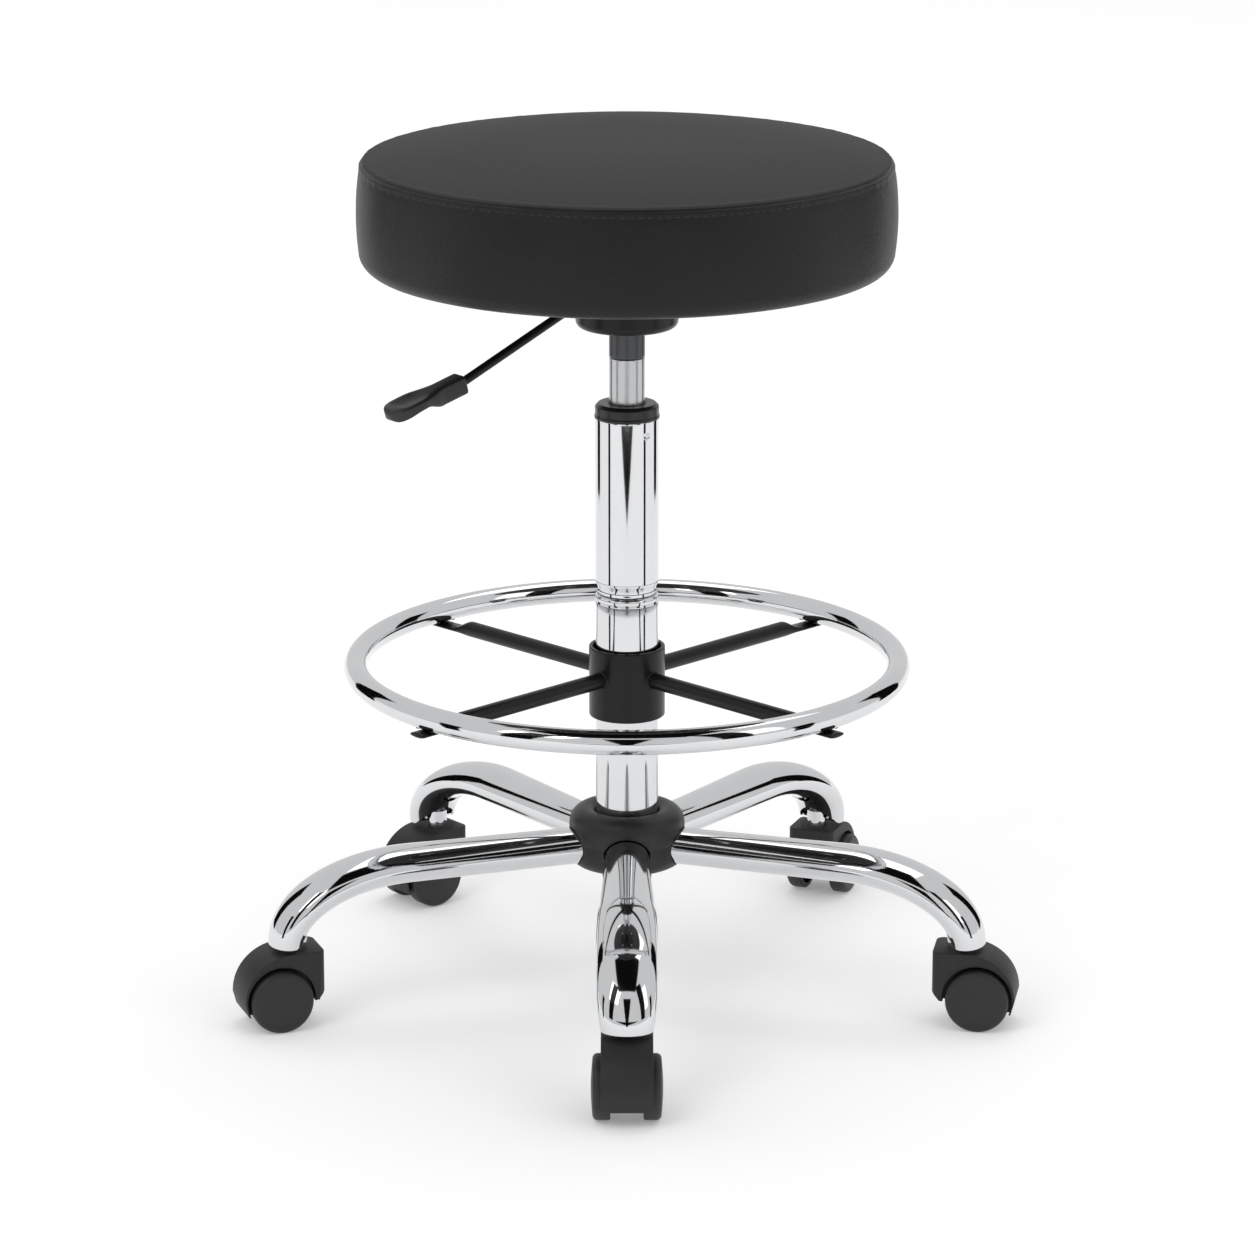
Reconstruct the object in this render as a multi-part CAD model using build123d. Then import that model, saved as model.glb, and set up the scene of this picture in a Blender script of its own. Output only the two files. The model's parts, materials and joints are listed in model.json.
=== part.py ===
from build123d import *

import os
from math import asin, atan2, cos, degrees, pi, radians, sin, tan

# Adjustable swivel stool: a round padded seat on a gas lift, a foot ring that slides on the
# post, and a five-leg base on twin-wheel casters. Sizes in millimetres, +Z up, floor at z = 0.
# Every piece is modelled about the column's axis and moved once, in write_parts, so that the
# middle of the footprint is the origin. The legs and casters are named as seen from the front,
# which is the -Y side.

# ---------------------------------------------------------------- driving dimensions

# clearances
RUNNING = 0.05               # radial, for a shaft that turns or slides in a hole
APART = 0.3                  # between pieces that move past each other
SKIN_GAP = 0.3               # between soft pieces and what they lie against

# seat
SEAT_RADIUS = 210.0
SEAT_BOTTOM = 589.0          # underside of the padded seat, above the floor, gas lift at rest
SEAT_BAND = 84.0             # height of the side band, from the underside to the top seam
SEAM_INSET = 3.0             # how far the top seam lies inside the band's widest line
CROWN = 16.0                 # rise of the top panel from the seam to the middle
CROWN_FLAT = 60.0            # radius of the flat middle of the top panel
CROWN_EASE = 70.0            # how far past the flat middle the panel stays nearly level
CROWN_FALL_RUN = 27.0        # the panel meets the seam falling CROWN_FALL over this run
CROWN_FALL = 9.0
BOTTOM_ROUND = 14.0          # rounding where the band turns under the board
COVER_THICKNESS = 1.2
COVER_HEM = 26.0             # width of the cover's edge that is turned in under the board
BOARD_THICKNESS = 12.0
BOARD_INSET = 18.0           # from the seat's side to the board's edge
DUST_COVER_THICKNESS = 0.6
DUST_COVER_RADIUS = 182.0

# seat mount: flange, dish and taper socket, welded together
FLANGE_HALF = 80.0
FLANGE_THICKNESS = 2.8
FLANGE_CORNER = 12.0
BOLT_PITCH = 62.0            # each bolt's distance from the axis along X and along Y
BOLT_RADIUS = 3.0
BOLT_HEAD_RADIUS = 6.5
BOLT_HEAD = 4.0
BOLT_BITE = 9.0              # how far the bolts reach into the board
DISH_RADIUS = 40.0
DISH_WALL = 2.5
DISH_ROUND = 6.0
DISH_DEPTH = 44.7            # from the flange's underside to the dish's bottom
SOCKET_WALL = 4.0

# gas lift
CYLINDER_RADIUS = 14.0
CYLINDER_WALL = 2.0
CYLINDER_LENGTH = 346.4      # from the bottom lip to the shoulder line of the chrome stretch
SHOULDER = 517.4             # height of that shoulder line at rest
CONE_START = 30.6            # straight dark stretch above the shoulder, before the taper
CONE_LENGTH = 23.0
CONE_TOP_RADIUS = 13.2
VALVE_BLOCK = 66.0           # solid head of the cylinder, below the top of the cone
PIN_RADIUS = 4.0
PIN_STAND = 6.0              # how far the release pin stands out of the cone
PIN_LENGTH = 30.0
PIN_TRAVEL = 4.2
ROD_RADIUS = 5.0
ROD_TOP = 380.0
ROD_STEP_RADIUS = 4.0        # lower end of the rod, through the bearing
RIVET_RADIUS = 3.0
RIVET_HEAD_RADIUS = 4.5
PISTON_HEIGHT = 11.0
GUIDE_HEIGHT = 24.5          # rod guide and seal in the cylinder's mouth
LIP = 2.0                    # rolled lip that holds the rod guide in
BUMPER_RADIUS = 12.0
BUMPER_HEIGHT = 15.7
LIFT_DOWN = 35.0             # the joints' travel, for the motion record: down from rest
LIFT_UP = 165.0              # and up from rest

# thrust bearing and rod clip
RACE_THICKNESS = 1.5
RACE_RADIUS = 11.0
BALL_RADIUS = 2.0
BALL_COUNT = 8
BALL_CIRCLE = 7.5
CAGE_THICKNESS = 2.4
CLIP_THICKNESS = 1.1
CLIP_RADIUS = 7.0
CLIP_GROOVE_RADIUS = 3.0
CLIP_MOUTH = 5.4

# column
STANDPIPE_RADIUS = 25.0      # the wide upper stretch
STANDPIPE_TOP = 469.0
STANDPIPE_STEP = 335.0       # where the wide stretch ends
STANDPIPE_NECK_RADIUS = 23.0
STANDPIPE_WALL = 1.5
STANDPIPE_CHAMFER = 2.0
STANDPIPE_FOOT = 107.0
FOOT_PLATE = 3.0
FOOT_RECESS = 1.0            # how far the plate stands above the tapered foot's rim
TAPER_SHRINK = 1.4           # loss of radius over the height of the hub core
POST_RADIUS = 24.8
POST_TOP = 327.0
BUSHING_CAP = 11.7
BUSHING_LIP = 0.6            # how far the cap's lower lip stands proud
BUSHING_LIP_HEIGHT = 2.2
BUSHING_LENGTH = 89.0        # sleeve inside the standpipe
BUSHING_BEVEL = 1.6

# foot ring
RING_RADIUS = 214.0
RING_TUBE_RADIUS = 9.5
RING_TUBE_WALL = 1.5
RING_HEIGHT = 270.0
SPOKE_RADIUS = 6.35
SPOKE_WALL = 1.2
SPOKE_COUNT = 4
SPOKE_FIRST_ANGLE = 45.0
SPOKE_TIP = 12.0             # how far the spoke's flat end reaches past the ring's centre line
SPOKE_FLAT = 4.0             # thickness of the crushed end
SPOKE_FLAT_HALF_WIDTH = 8.0
SPOKE_FLAT_LENGTH = 30.0
SPOKE_BLEND = 18.0           # length over which the round tube turns flat
COLLAR_RADIUS = 30.0
COLLAR_WALL = 3.0
COLLAR_LOW = 227.8
COLLAR_HIGH = 284.3
RING_DOWN = 70.0             # travel of the foot ring from rest, for the motion record
RING_UP = 35.0

# clamp screw at the back of the collar
SCREW_RADIUS = 4.0
SCREW_LENGTH = 30.0
SCREW_HEIGHT = 245.0
SCREW_PITCH = 1.25           # travel of the screw per turn, for the motion record
SCREW_TURNS = 4.0
NUT_RADIUS = 8.0
NUT_LENGTH = 9.0
KNOB_RADIUS = 16.0
KNOB_LENGTH = 20.0
KNOB_LOBES = 6
KNOB_LOBE_RADIUS = 5.0
KNOB_BOSS_RADIUS = 9.0
KNOB_BOSS = 6.0

# hub
HUB_RADIUS = 46.0
HUB_LOW = 104.8
HUB_SEAM = 126.4
HUB_TOP = 151.0
HUB_DISH = 4.0               # how deep the top sinks towards the post
HUB_SHOULDER_RADIUS = 34.0
HUB_SHOULDER_DROP = 15.0     # height over which the shoulder rounds into the side
HUB_WALL = 2.5
HUB_LOWER_ROUND = 9.0
HUB_CORE_RADIUS = 30.5
HUB_CORE_TOP = 143.0
HUB_GAP = 0.8                # between the covers and the legs

# legs
LEG_COUNT = 5
LEG_FIRST_ANGLE = -90.0
LEG_HEIGHT = 121.8           # centre line where the leg leaves the hub
LEG_STRAIGHT = 180.0         # radius at which the leg starts to bend down
LEG_BEND_REACH = 101.0       # horizontal reach of the bend
LEG_END = 66.0               # height of the leg's cut end
LEG_WALL = 2.0
LEG_ROOT_WIDTH = 35.0
LEG_MID_WIDTH = 46.0
LEG_KNEE_WIDTH = 47.4
LEG_END_WIDTH = 40.0
LEG_ROOT_DEPTH = 28.5
LEG_END_DEPTH = 27.5
LEG_BUTT = 9.0               # extra length at the root, trimmed to the round hub core
LEG_STATIONS = 6             # sections along the straight stretch, and again along the bend
MOUTH_START = 243.0          # where the opening in the leg's underside begins
MOUTH_START_HEIGHT = 97.0
MOUTH_END = 277.0            # where it meets the cut end
LEG_NAMES = ["front", "right", "rear_right", "rear_left", "left"]

# casters
STEM_CIRCLE = 272.8
SOCKET_RADIUS = 8.25
SOCKET_HEIGHT = 10.0
SOCKET_PLATE = 2.5
SOCKET_PLATE_RISE = 1.0      # from the leg's cut end up to the plate
STEM_RADIUS = 5.5
STEM_SEAT = 17.0             # how deep the stem is pressed into the hood
STEM_COLLAR_RADIUS = 7.5
STEM_TIP_RADIUS = 3.9
STEM_TIP = 9.5               # rounded tip above the socket
GRIP_RING_HEIGHT = 4.0
GRIP_RING_DEPTH = 0.9
GRIP_RING_SLOT = 2.0
TRAIL = 18.0
WHEEL_RADIUS = 25.0
WHEEL_OUTER = 27.1           # from the caster's middle plane to the wheel's outer face
WHEEL_INNER = 12.4
WHEEL_ROUND = 4.0
WHEEL_DOME = 1.2             # how far the outer face bulges at the axle
WHEEL_RIM = 4.0
WHEEL_FACE = 3.0
WHEEL_BOSS_RADIUS = 7.5
AXLE_RADIUS = 4.0
AXLE_SHORT = 5.0             # the axle ends this far inside the wheels' outer faces
HOOD_TOP = 62.5
HOOD_HALF_WIDTH = 19.6
HOOD_GAP = 2.2               # between the wheel's tread and the hood
HOOD_FRONT = 18.0            # from the stem to the hood's front edge
HOOD_BACK = 47.5             # from the stem to the hood's back edge
HOOD_FLAT_END = 9.0          # how far behind the stem the flat top ends
HOOD_FRONT_LOW = 29.0
HOOD_FRONT_CHAMFER = 6.0
HOOD_BACK_LOW = 14.0
HOOD_TUCK = 0.9              # share of the back's reach that is left at its lower edge
HOOD_CORNER = 9.0
WEB_LOW = 9.0                # underside of the web between the wheels
WEB_GAP = 0.5                # between the web and the wheels' inner faces
CASTER_HEADINGS = {          # direction from the stem to the axle, degrees from +X
    "front": 270.0,
    "right": 350.0,
    "rear_right": 69.0,
    "rear_left": 220.0,
    "left": 200.0,
}

# lever
LEVER_ANGLE = 218.0          # direction from the column to the handle, degrees from +X
LEVER_RADIUS = 3.5
LEVER_TAIL = 6.0             # how far the rod reaches past the release pin
LEVER_BEND = 11.9            # distance from the axis to the rod's bend
LEVER_SLOPE = 22.9           # how steeply the rod falls after the bend, degrees
LEVER_PIVOT = 30.0           # distance from the axis to the pivot
LEVER_REACH = 159.0          # distance from the axis to the handle
LEVER_BITE = 14.0            # how deep the rod is pressed into the handle
LEVER_BEND_RADIUS = 12.0
LEVER_EYE_RADIUS = 6.0
LEVER_EYE_HALF = 4.0
PIVOT_RADIUS = 2.5
EAR_THICKNESS = 3.0
EAR_HALF_LENGTH = 6.0
EAR_DROP = 8.0
HANDLE_SLOPE = 15.0
HANDLE_LENGTH = 70.0
HANDLE_BLOCK = 22.0          # length of the square-sided block
HANDLE_FLARE = 22.0          # length over which the block widens to the paddle
HANDLE_GROOVE = 16.0         # length of the finger groove under the paddle
HANDLE_GROOVE_START = 4.0    # from the block's end to the groove
HANDLE_GROOVE_RISE = 1.0     # how far the groove rises into the paddle
HANDLE_TIP_DROP = 1.5        # how far the tip hangs below the paddle's underside
HANDLE_BLOCK_HALF_WIDTH = 8.0
HANDLE_PAD_HALF_WIDTH = 14.5
HANDLE_THICKNESS = 15.0
HANDLE_PAD_THICKNESS = 9.5
HANDLE_ROUND = 2.0

# ---------------------------------------------------------------- worked-out places

SEAM_RADIUS = SEAT_RADIUS - SEAM_INSET
SEAM_HEIGHT = SEAT_BOTTOM + SEAT_BAND
SEAT_TOP = SEAM_HEIGHT + CROWN
BOARD_LOW = SEAT_BOTTOM + COVER_THICKNESS + 0.1
BOARD_HIGH = BOARD_LOW + BOARD_THICKNESS
BOARD_RADIUS = SEAT_RADIUS - BOARD_INSET
DUST_COVER_LOW = SEAT_BOTTOM - DUST_COVER_THICKNESS
FLANGE_HIGH = DUST_COVER_LOW
FLANGE_LOW = FLANGE_HIGH - FLANGE_THICKNESS
DISH_LOW = FLANGE_LOW - DISH_DEPTH

CONE_LOW = SHOULDER + CONE_START
CONE_HIGH = CONE_LOW + CONE_LENGTH
CYLINDER_LOW = SHOULDER - CYLINDER_LENGTH
CYLINDER_BORE = CYLINDER_RADIUS - CYLINDER_WALL
PIN_TOP = CONE_HIGH + PIN_STAND
LEVER_HEIGHT = PIN_TOP + APART + LEVER_RADIUS

STANDPIPE_NECK_BORE = STANDPIPE_NECK_RADIUS - STANDPIPE_WALL
STANDPIPE_BORE = STANDPIPE_RADIUS - STANDPIPE_WALL
STANDPIPE_FOOT_RADIUS = STANDPIPE_NECK_RADIUS - TAPER_SHRINK
POST_BORE = STANDPIPE_NECK_RADIUS + 0.1
BEARING_LOW = STANDPIPE_FOOT + FOOT_RECESS + FOOT_PLATE
BALL_HEIGHT = BEARING_LOW + RACE_THICKNESS + BALL_RADIUS
BEARING_HIGH = BALL_HEIGHT + BALL_RADIUS + RACE_THICKNESS
ROD_SHOULDER = BEARING_HIGH + RUNNING
BUMPER_LOW = BEARING_HIGH + APART
CLIP_LOW = STANDPIPE_FOOT + FOOT_RECESS - APART - CLIP_THICKNESS
ROD_LOW = CLIP_LOW - 3.0

SPOKE_HEIGHT = RING_HEIGHT - RING_TUBE_RADIUS + 0.3
SPOKE_FLAT_TOP = RING_HEIGHT - RING_TUBE_RADIUS
SPOKE_END = RING_RADIUS + SPOKE_TIP

LEG_BEND_DROP = LEG_HEIGHT - LEG_END
LEG_END_RADIUS = LEG_STRAIGHT + LEG_BEND_REACH
SOCKET_LOW = LEG_END
SOCKET_HIGH = SOCKET_LOW + SOCKET_HEIGHT
SOCKET_BORE = STEM_RADIUS + RUNNING
STEM_COLLAR_HIGH = SOCKET_LOW - APART
GRIP_RING_LOW = SOCKET_LOW + 3.0
WHEEL_POCKET = WHEEL_RADIUS + HOOD_GAP
WEB_HALF = WHEEL_INNER - WEB_GAP

LEVER_FALL = tan(radians(LEVER_SLOPE))
PIVOT_HEIGHT = LEVER_HEIGHT - (LEVER_PIVOT - LEVER_BEND) * LEVER_FALL
LEVER_TRAVEL = degrees(asin(PIN_TRAVEL / LEVER_PIVOT))


# ---------------------------------------------------------------- shared helpers


def rod(radius, low, high):
    """Upright solid cylinder about the column's axis."""
    return Pos(0, 0, (low + high) / 2) * Cylinder(radius, high - low)


def sleeve(outer, inner, low, high):
    """Upright tube about the column's axis."""
    return rod(outer, low, high) - rod(inner, low - 1, high + 1)


def turned(edges):
    """Solid of revolution about the column's axis from a closed outline of radius and height."""
    return revolve(Plane.XZ * make_face(Wire(edges)), Axis.Z)


def turned_polygon(*points):
    """Solid of revolution about the column's axis from straight runs of radius and height."""
    return revolve(Plane.XZ * make_face(Polyline(*points, close=True)), Axis.Z)


def polar(radius, angle, height=0.0):
    """Place at a distance and direction from the column's axis."""
    return Vector(radius * cos(radians(angle)), radius * sin(radians(angle)), height)


def leg_angle(index):
    return LEG_FIRST_ANGLE + index * 360 / LEG_COUNT


# ---------------------------------------------------------------- seat


def seat_outline(inset):
    """Half section of the padded seat, drawn inwards by inset from the cover's outside."""
    top = SEAT_TOP - inset
    low = SEAT_BOTTOM + inset
    side = SEAT_RADIUS - inset
    seam = (SEAM_RADIUS - inset, SEAM_HEIGHT - inset / 2)
    turn = BOTTOM_ROUND - inset
    bend_high = (side - 1.0, low + turn)
    bend_low = (side - 1.0 - turn, low)
    middle = Line((0, top), (CROWN_FLAT, top))
    crown = Bezier((CROWN_FLAT, top), (CROWN_FLAT + CROWN_EASE, top),
                   (seam[0] - CROWN_FALL_RUN, seam[1] + CROWN_FALL), seam)
    band = ThreePointArc(seam, (side, (SEAM_HEIGHT + SEAT_BOTTOM) / 2), bend_high)
    under = RadiusArc(bend_high, bend_low, turn)
    floor = Line(bend_low, (0, low))
    axis = Line((0, low), (0, top))
    return [middle, crown, band, under, floor, axis]


def padded_shape(inset):
    return turned(seat_outline(inset))


def seat_cover():
    """Sewn cover: a thin skin whose edge turns in under the board."""
    skin = padded_shape(0) - padded_shape(COVER_THICKNESS)
    hem_radius = SEAT_RADIUS - BOTTOM_ROUND - COVER_HEM
    return skin - rod(hem_radius, SEAT_BOTTOM - 1, SEAT_BOTTOM + COVER_THICKNESS + 1)


def seat_board():
    """Plywood disc with four bolt holes and a pocket over the lever."""
    board = rod(BOARD_RADIUS, BOARD_LOW, BOARD_HIGH)
    board = chamfer(board.edges().group_by(Axis.Z)[0], 1.5)
    for place in bolt_places():
        hole = Cylinder(BOLT_RADIUS, BOLT_BITE + 1, align=(Align.CENTER, Align.CENTER, Align.MIN))
        board -= Pos(place.X, place.Y, BOARD_LOW - 1) * hole
    return board


def seat_foam():
    """Foam that fills the cover, over and round the board."""
    foam = padded_shape(COVER_THICKNESS + SKIN_GAP)
    return foam - rod(BOARD_RADIUS + SKIN_GAP, SEAT_BOTTOM - 1, BOARD_HIGH + SKIN_GAP)


def dust_cover():
    cover = rod(DUST_COVER_RADIUS, DUST_COVER_LOW, SEAT_BOTTOM)
    for place in bolt_places():
        cover -= Pos(place.X, place.Y, SEAT_BOTTOM) * Cylinder(BOLT_RADIUS, 4)
    return cover


def bolt_places():
    return [Vector(x * BOLT_PITCH, y * BOLT_PITCH, 0) for x in (-1, 1) for y in (-1, 1)]


def plate_bolts():
    """Four bolts that hold the seat mount to the board."""
    bolts = []
    shank_top = BOARD_LOW + BOLT_BITE
    for place in bolt_places():
        shank = rod(BOLT_RADIUS, FLANGE_LOW - BOLT_HEAD / 2, shank_top)
        head = rod(BOLT_HEAD_RADIUS, FLANGE_LOW - BOLT_HEAD, FLANGE_LOW)
        head = fillet(head.edges().group_by(Axis.Z)[0], BOLT_HEAD / 3)
        bolts.append(Pos(place.X, place.Y, 0) * (head + shank))
    return bolts


def lever_frame(radius, height):
    """Plane in which the lever lies: local X runs outwards, local Y up, local Z across it."""
    direction = polar(1, LEVER_ANGLE)
    return Plane(origin=polar(radius, LEVER_ANGLE, height), x_dir=direction,
                 z_dir=direction.cross(Vector(0, 0, 1)))


def seat_mount():
    """Steel flange with a dish, a taper socket for the gas lift and two ears for the lever."""
    flange = Box(2 * FLANGE_HALF, 2 * FLANGE_HALF, FLANGE_THICKNESS)
    flange = fillet(flange.edges().filter_by(Axis.Z), FLANGE_CORNER)
    mount = Pos(0, 0, (FLANGE_LOW + FLANGE_HIGH) / 2) * flange
    for place in bolt_places():
        mount -= Pos(place.X, place.Y, FLANGE_LOW) * Cylinder(BOLT_RADIUS, 4 * FLANGE_THICKNESS)

    dish = rod(DISH_RADIUS, DISH_LOW, FLANGE_LOW)
    dish = fillet(dish.edges().group_by(Axis.Z)[0], DISH_ROUND)
    dish -= rod(DISH_RADIUS - DISH_WALL, DISH_LOW + DISH_WALL, FLANGE_LOW)
    mount += dish

    socket_radius = CYLINDER_RADIUS + SOCKET_WALL
    mount += rod(socket_radius, DISH_LOW + 1, CONE_HIGH - APART)
    mount -= rod(CYLINDER_RADIUS, DISH_LOW - 1, CONE_LOW)
    cone = Cone(CYLINDER_RADIUS, CONE_TOP_RADIUS, CONE_LENGTH)
    mount -= Pos(0, 0, (CONE_LOW + CONE_HIGH) / 2) * cone

    pivot = lever_frame(LEVER_PIVOT, PIVOT_HEIGHT)
    ear_height = FLANGE_LOW - PIVOT_HEIGHT + EAR_DROP
    ear_offset = LEVER_EYE_HALF + APART + EAR_THICKNESS / 2
    for side in (-1, 1):
        ear = Box(2 * EAR_HALF_LENGTH, ear_height, EAR_THICKNESS)
        mount += pivot * Pos(0, ear_height / 2 - EAR_DROP, side * ear_offset) * ear
    mount -= pivot * Cylinder(PIVOT_RADIUS, 4 * ear_offset)
    return mount - lever_slot()


def lever_slot():
    """Slot in the dish's wall that the lever passes through, tall enough for its travel."""
    wall_radius = DISH_RADIUS - DISH_WALL / 2
    drop = (wall_radius - LEVER_PIVOT) * LEVER_FALL
    slot = Box(6 * DISH_WALL, 4 * LEVER_RADIUS + 3, 2 * LEVER_RADIUS + 2)
    return lever_frame(wall_radius + DISH_WALL, PIVOT_HEIGHT - drop + 1) * slot


def lever_pivot():
    half_length = LEVER_EYE_HALF + APART + EAR_THICKNESS
    return lever_frame(LEVER_PIVOT, PIVOT_HEIGHT) * Cylinder(PIVOT_RADIUS, 2 * half_length)


# ---------------------------------------------------------------- lever


def lever_points():
    """Ends and bend of the rod, as distance from the axis and height."""
    inner = (-LEVER_TAIL, LEVER_HEIGHT)
    bend = (LEVER_BEND, LEVER_HEIGHT)
    grip = LEVER_REACH + LEVER_BITE * cos(radians(LEVER_SLOPE))
    outer = (grip, LEVER_HEIGHT - (grip - LEVER_BEND) * LEVER_FALL)
    return [inner, bend, outer]


def lever_rod():
    """Bent steel rod with an eye at its pivot."""
    inner, bend, outer = lever_points()
    frame = lever_frame(0, 0)
    path = frame * FilletPolyline(inner, bend, outer, radius=LEVER_BEND_RADIUS)
    start = Plane(origin=path @ 0, z_dir=path % 0)
    arm = sweep(start * Circle(LEVER_RADIUS), path=path)
    pivot = lever_frame(LEVER_PIVOT, PIVOT_HEIGHT)
    arm += pivot * Cylinder(LEVER_EYE_RADIUS, 2 * LEVER_EYE_HALF)
    return arm - pivot * Cylinder(PIVOT_RADIUS + RUNNING, 4 * LEVER_EYE_HALF)


def handle_plan():
    """Outline from above: a square-sided block that widens to a rounded paddle."""
    block = HANDLE_BLOCK_HALF_WIDTH
    pad = HANDLE_PAD_HALF_WIDTH
    pad_start = HANDLE_BLOCK + HANDLE_FLARE
    round_start = HANDLE_LENGTH - pad
    edges = [Line((0, -block), (0, block))]
    for side in (-1, 1):
        edges.append(Line((0, side * block), (HANDLE_BLOCK, side * block)))
        edges.append(Spline((HANDLE_BLOCK, side * block), (pad_start, side * pad),
                            tangents=[(1, 0), (1, 0)]))
        edges.append(Line((pad_start, side * pad), (round_start, side * pad)))
    edges.append(ThreePointArc((round_start, -pad), (HANDLE_LENGTH, 0), (round_start, pad)))
    return make_face(Wire(edges))


def handle_side():
    """Outline from the side: flat on top, with a finger groove under the paddle."""
    half = HANDLE_THICKNESS / 2
    pad_low = half - HANDLE_PAD_THICKNESS
    groove_start = HANDLE_BLOCK + HANDLE_GROOVE_START
    groove_end = groove_start + HANDLE_GROOVE
    top = Line((0, half), (HANDLE_LENGTH, half))
    tip_low = pad_low - HANDLE_TIP_DROP
    tip = Line((HANDLE_LENGTH, half), (HANDLE_LENGTH, tip_low))
    under = Spline((HANDLE_LENGTH, tip_low), (groove_end, pad_low + HANDLE_GROOVE_RISE),
                   (groove_start, -half), tangents=[(-1, 0), (-1, -0.4)])
    block = Line((groove_start, -half), (0, -half))
    back = Line((0, -half), (0, half))
    return make_face(Wire([top, tip, under, block, back]))


def handle_frame():
    """Plane at the block's face: local X runs along the handle, local Z up from its pad."""
    base = LEVER_HEIGHT - (LEVER_REACH - LEVER_BEND) * LEVER_FALL
    upright = lever_frame(LEVER_REACH, base)
    return upright * Rot(0, 0, -HANDLE_SLOPE) * Rot(-90, 0, 0)


def lever_handle():
    """Moulded paddle pressed on the rod's end."""
    slab = extrude(handle_plan(), HANDLE_THICKNESS, both=True)
    side = extrude(Plane.XZ * handle_side(), 2 * HANDLE_PAD_HALF_WIDTH, both=True)
    paddle = slab & side
    paddle = fillet(paddle.edges().filter_by(GeomType.LINE).filter_by(Axis.X), HANDLE_ROUND)
    placed = handle_frame() * paddle
    return placed - lever_rod()


# ---------------------------------------------------------------- gas lift


def gas_cylinder():
    """Pressure tube with its valve head, cone and rolled lower lip, as one sealed body."""
    body = rod(CYLINDER_RADIUS, CYLINDER_LOW, CONE_LOW)
    body = chamfer(body.edges().group_by(Axis.Z)[0], 1.0)
    cone = Cone(CYLINDER_RADIUS, CONE_TOP_RADIUS, CONE_LENGTH)
    body += Pos(0, 0, (CONE_LOW + CONE_HIGH) / 2) * cone
    body -= rod(CYLINDER_BORE, CYLINDER_LOW + LIP, CONE_HIGH - VALVE_BLOCK)
    body -= rod(CYLINDER_BORE - 3.0, CYLINDER_LOW - 1, CYLINDER_LOW + LIP)
    pin_bore_low = PIN_TOP - PIN_LENGTH - PIN_TRAVEL - 2.0
    body -= rod(PIN_RADIUS + RUNNING, pin_bore_low, CONE_HIGH + 1)
    groove = sleeve(CYLINDER_RADIUS + 1, CYLINDER_RADIUS - 0.4, SHOULDER - 0.5, SHOULDER + 0.5)
    return body - groove


def rod_guide():
    """Guide and seal in the cylinder's mouth, running on the piston rod."""
    low = CYLINDER_LOW + LIP
    return sleeve(CYLINDER_BORE, ROD_RADIUS + RUNNING, low, low + GUIDE_HEIGHT)


def release_pin():
    pin = rod(PIN_RADIUS, PIN_TOP - PIN_LENGTH, PIN_TOP)
    return fillet(pin.edges().group_by(Axis.Z)[-1], PIN_RADIUS - 0.5)


def piston_rod():
    """Steel rod: stepped at its foot, grooved for the clip, riveted over at its top."""
    stem = rod(ROD_RADIUS, ROD_SHOULDER, ROD_TOP)
    stem += rod(ROD_STEP_RADIUS, ROD_LOW, ROD_SHOULDER)
    stem += rod(RIVET_RADIUS, ROD_TOP, ROD_TOP + PISTON_HEIGHT)
    head_low = ROD_TOP + PISTON_HEIGHT
    stem += rod(RIVET_HEAD_RADIUS, head_low, head_low + 2.0)
    clip = sleeve(ROD_RADIUS, CLIP_GROOVE_RADIUS, CLIP_LOW, CLIP_LOW + CLIP_THICKNESS)
    return stem - clip


def piston():
    return sleeve(CYLINDER_BORE - RUNNING, RIVET_RADIUS, ROD_TOP, ROD_TOP + PISTON_HEIGHT)


def bumper():
    """Rubber ring that cushions the bottom of the stroke."""
    ring = sleeve(BUMPER_RADIUS, ROD_RADIUS, BUMPER_LOW, BUMPER_LOW + BUMPER_HEIGHT)
    return fillet(ring.edges().filter_by(GeomType.CIRCLE).sort_by(SortBy.LENGTH)[-2:], 1.5)


def rod_clip():
    """Open clip in the rod's groove, under the standpipe's foot plate."""
    clip = sleeve(CLIP_RADIUS, CLIP_GROOVE_RADIUS, CLIP_LOW, CLIP_LOW + CLIP_THICKNESS)
    mouth = Box(2 * CLIP_RADIUS, CLIP_MOUTH, 4 * CLIP_THICKNESS)
    return clip - Pos(CLIP_RADIUS, 0, CLIP_LOW) * mouth


def thrust_bearing():
    """Two races, the balls and their cage."""
    bore = ROD_STEP_RADIUS + 0.2
    lower = sleeve(RACE_RADIUS, bore, BEARING_LOW, BEARING_LOW + RACE_THICKNESS)
    upper = sleeve(RACE_RADIUS, bore, BEARING_HIGH - RACE_THICKNESS, BEARING_HIGH)
    half_cage = CAGE_THICKNESS / 2
    cage = sleeve(RACE_RADIUS - 0.5, bore + 0.5, BALL_HEIGHT - half_cage, BALL_HEIGHT + half_cage)
    pieces = [lower, upper]
    for index in range(BALL_COUNT):
        place = Pos(polar(BALL_CIRCLE, index * 360 / BALL_COUNT, BALL_HEIGHT))
        cage -= place * Cylinder(BALL_RADIUS + RUNNING, 2 * CAGE_THICKNESS)
        pieces.append(place * Sphere(BALL_RADIUS))
    return pieces + [cage]


# ---------------------------------------------------------------- column


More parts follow.
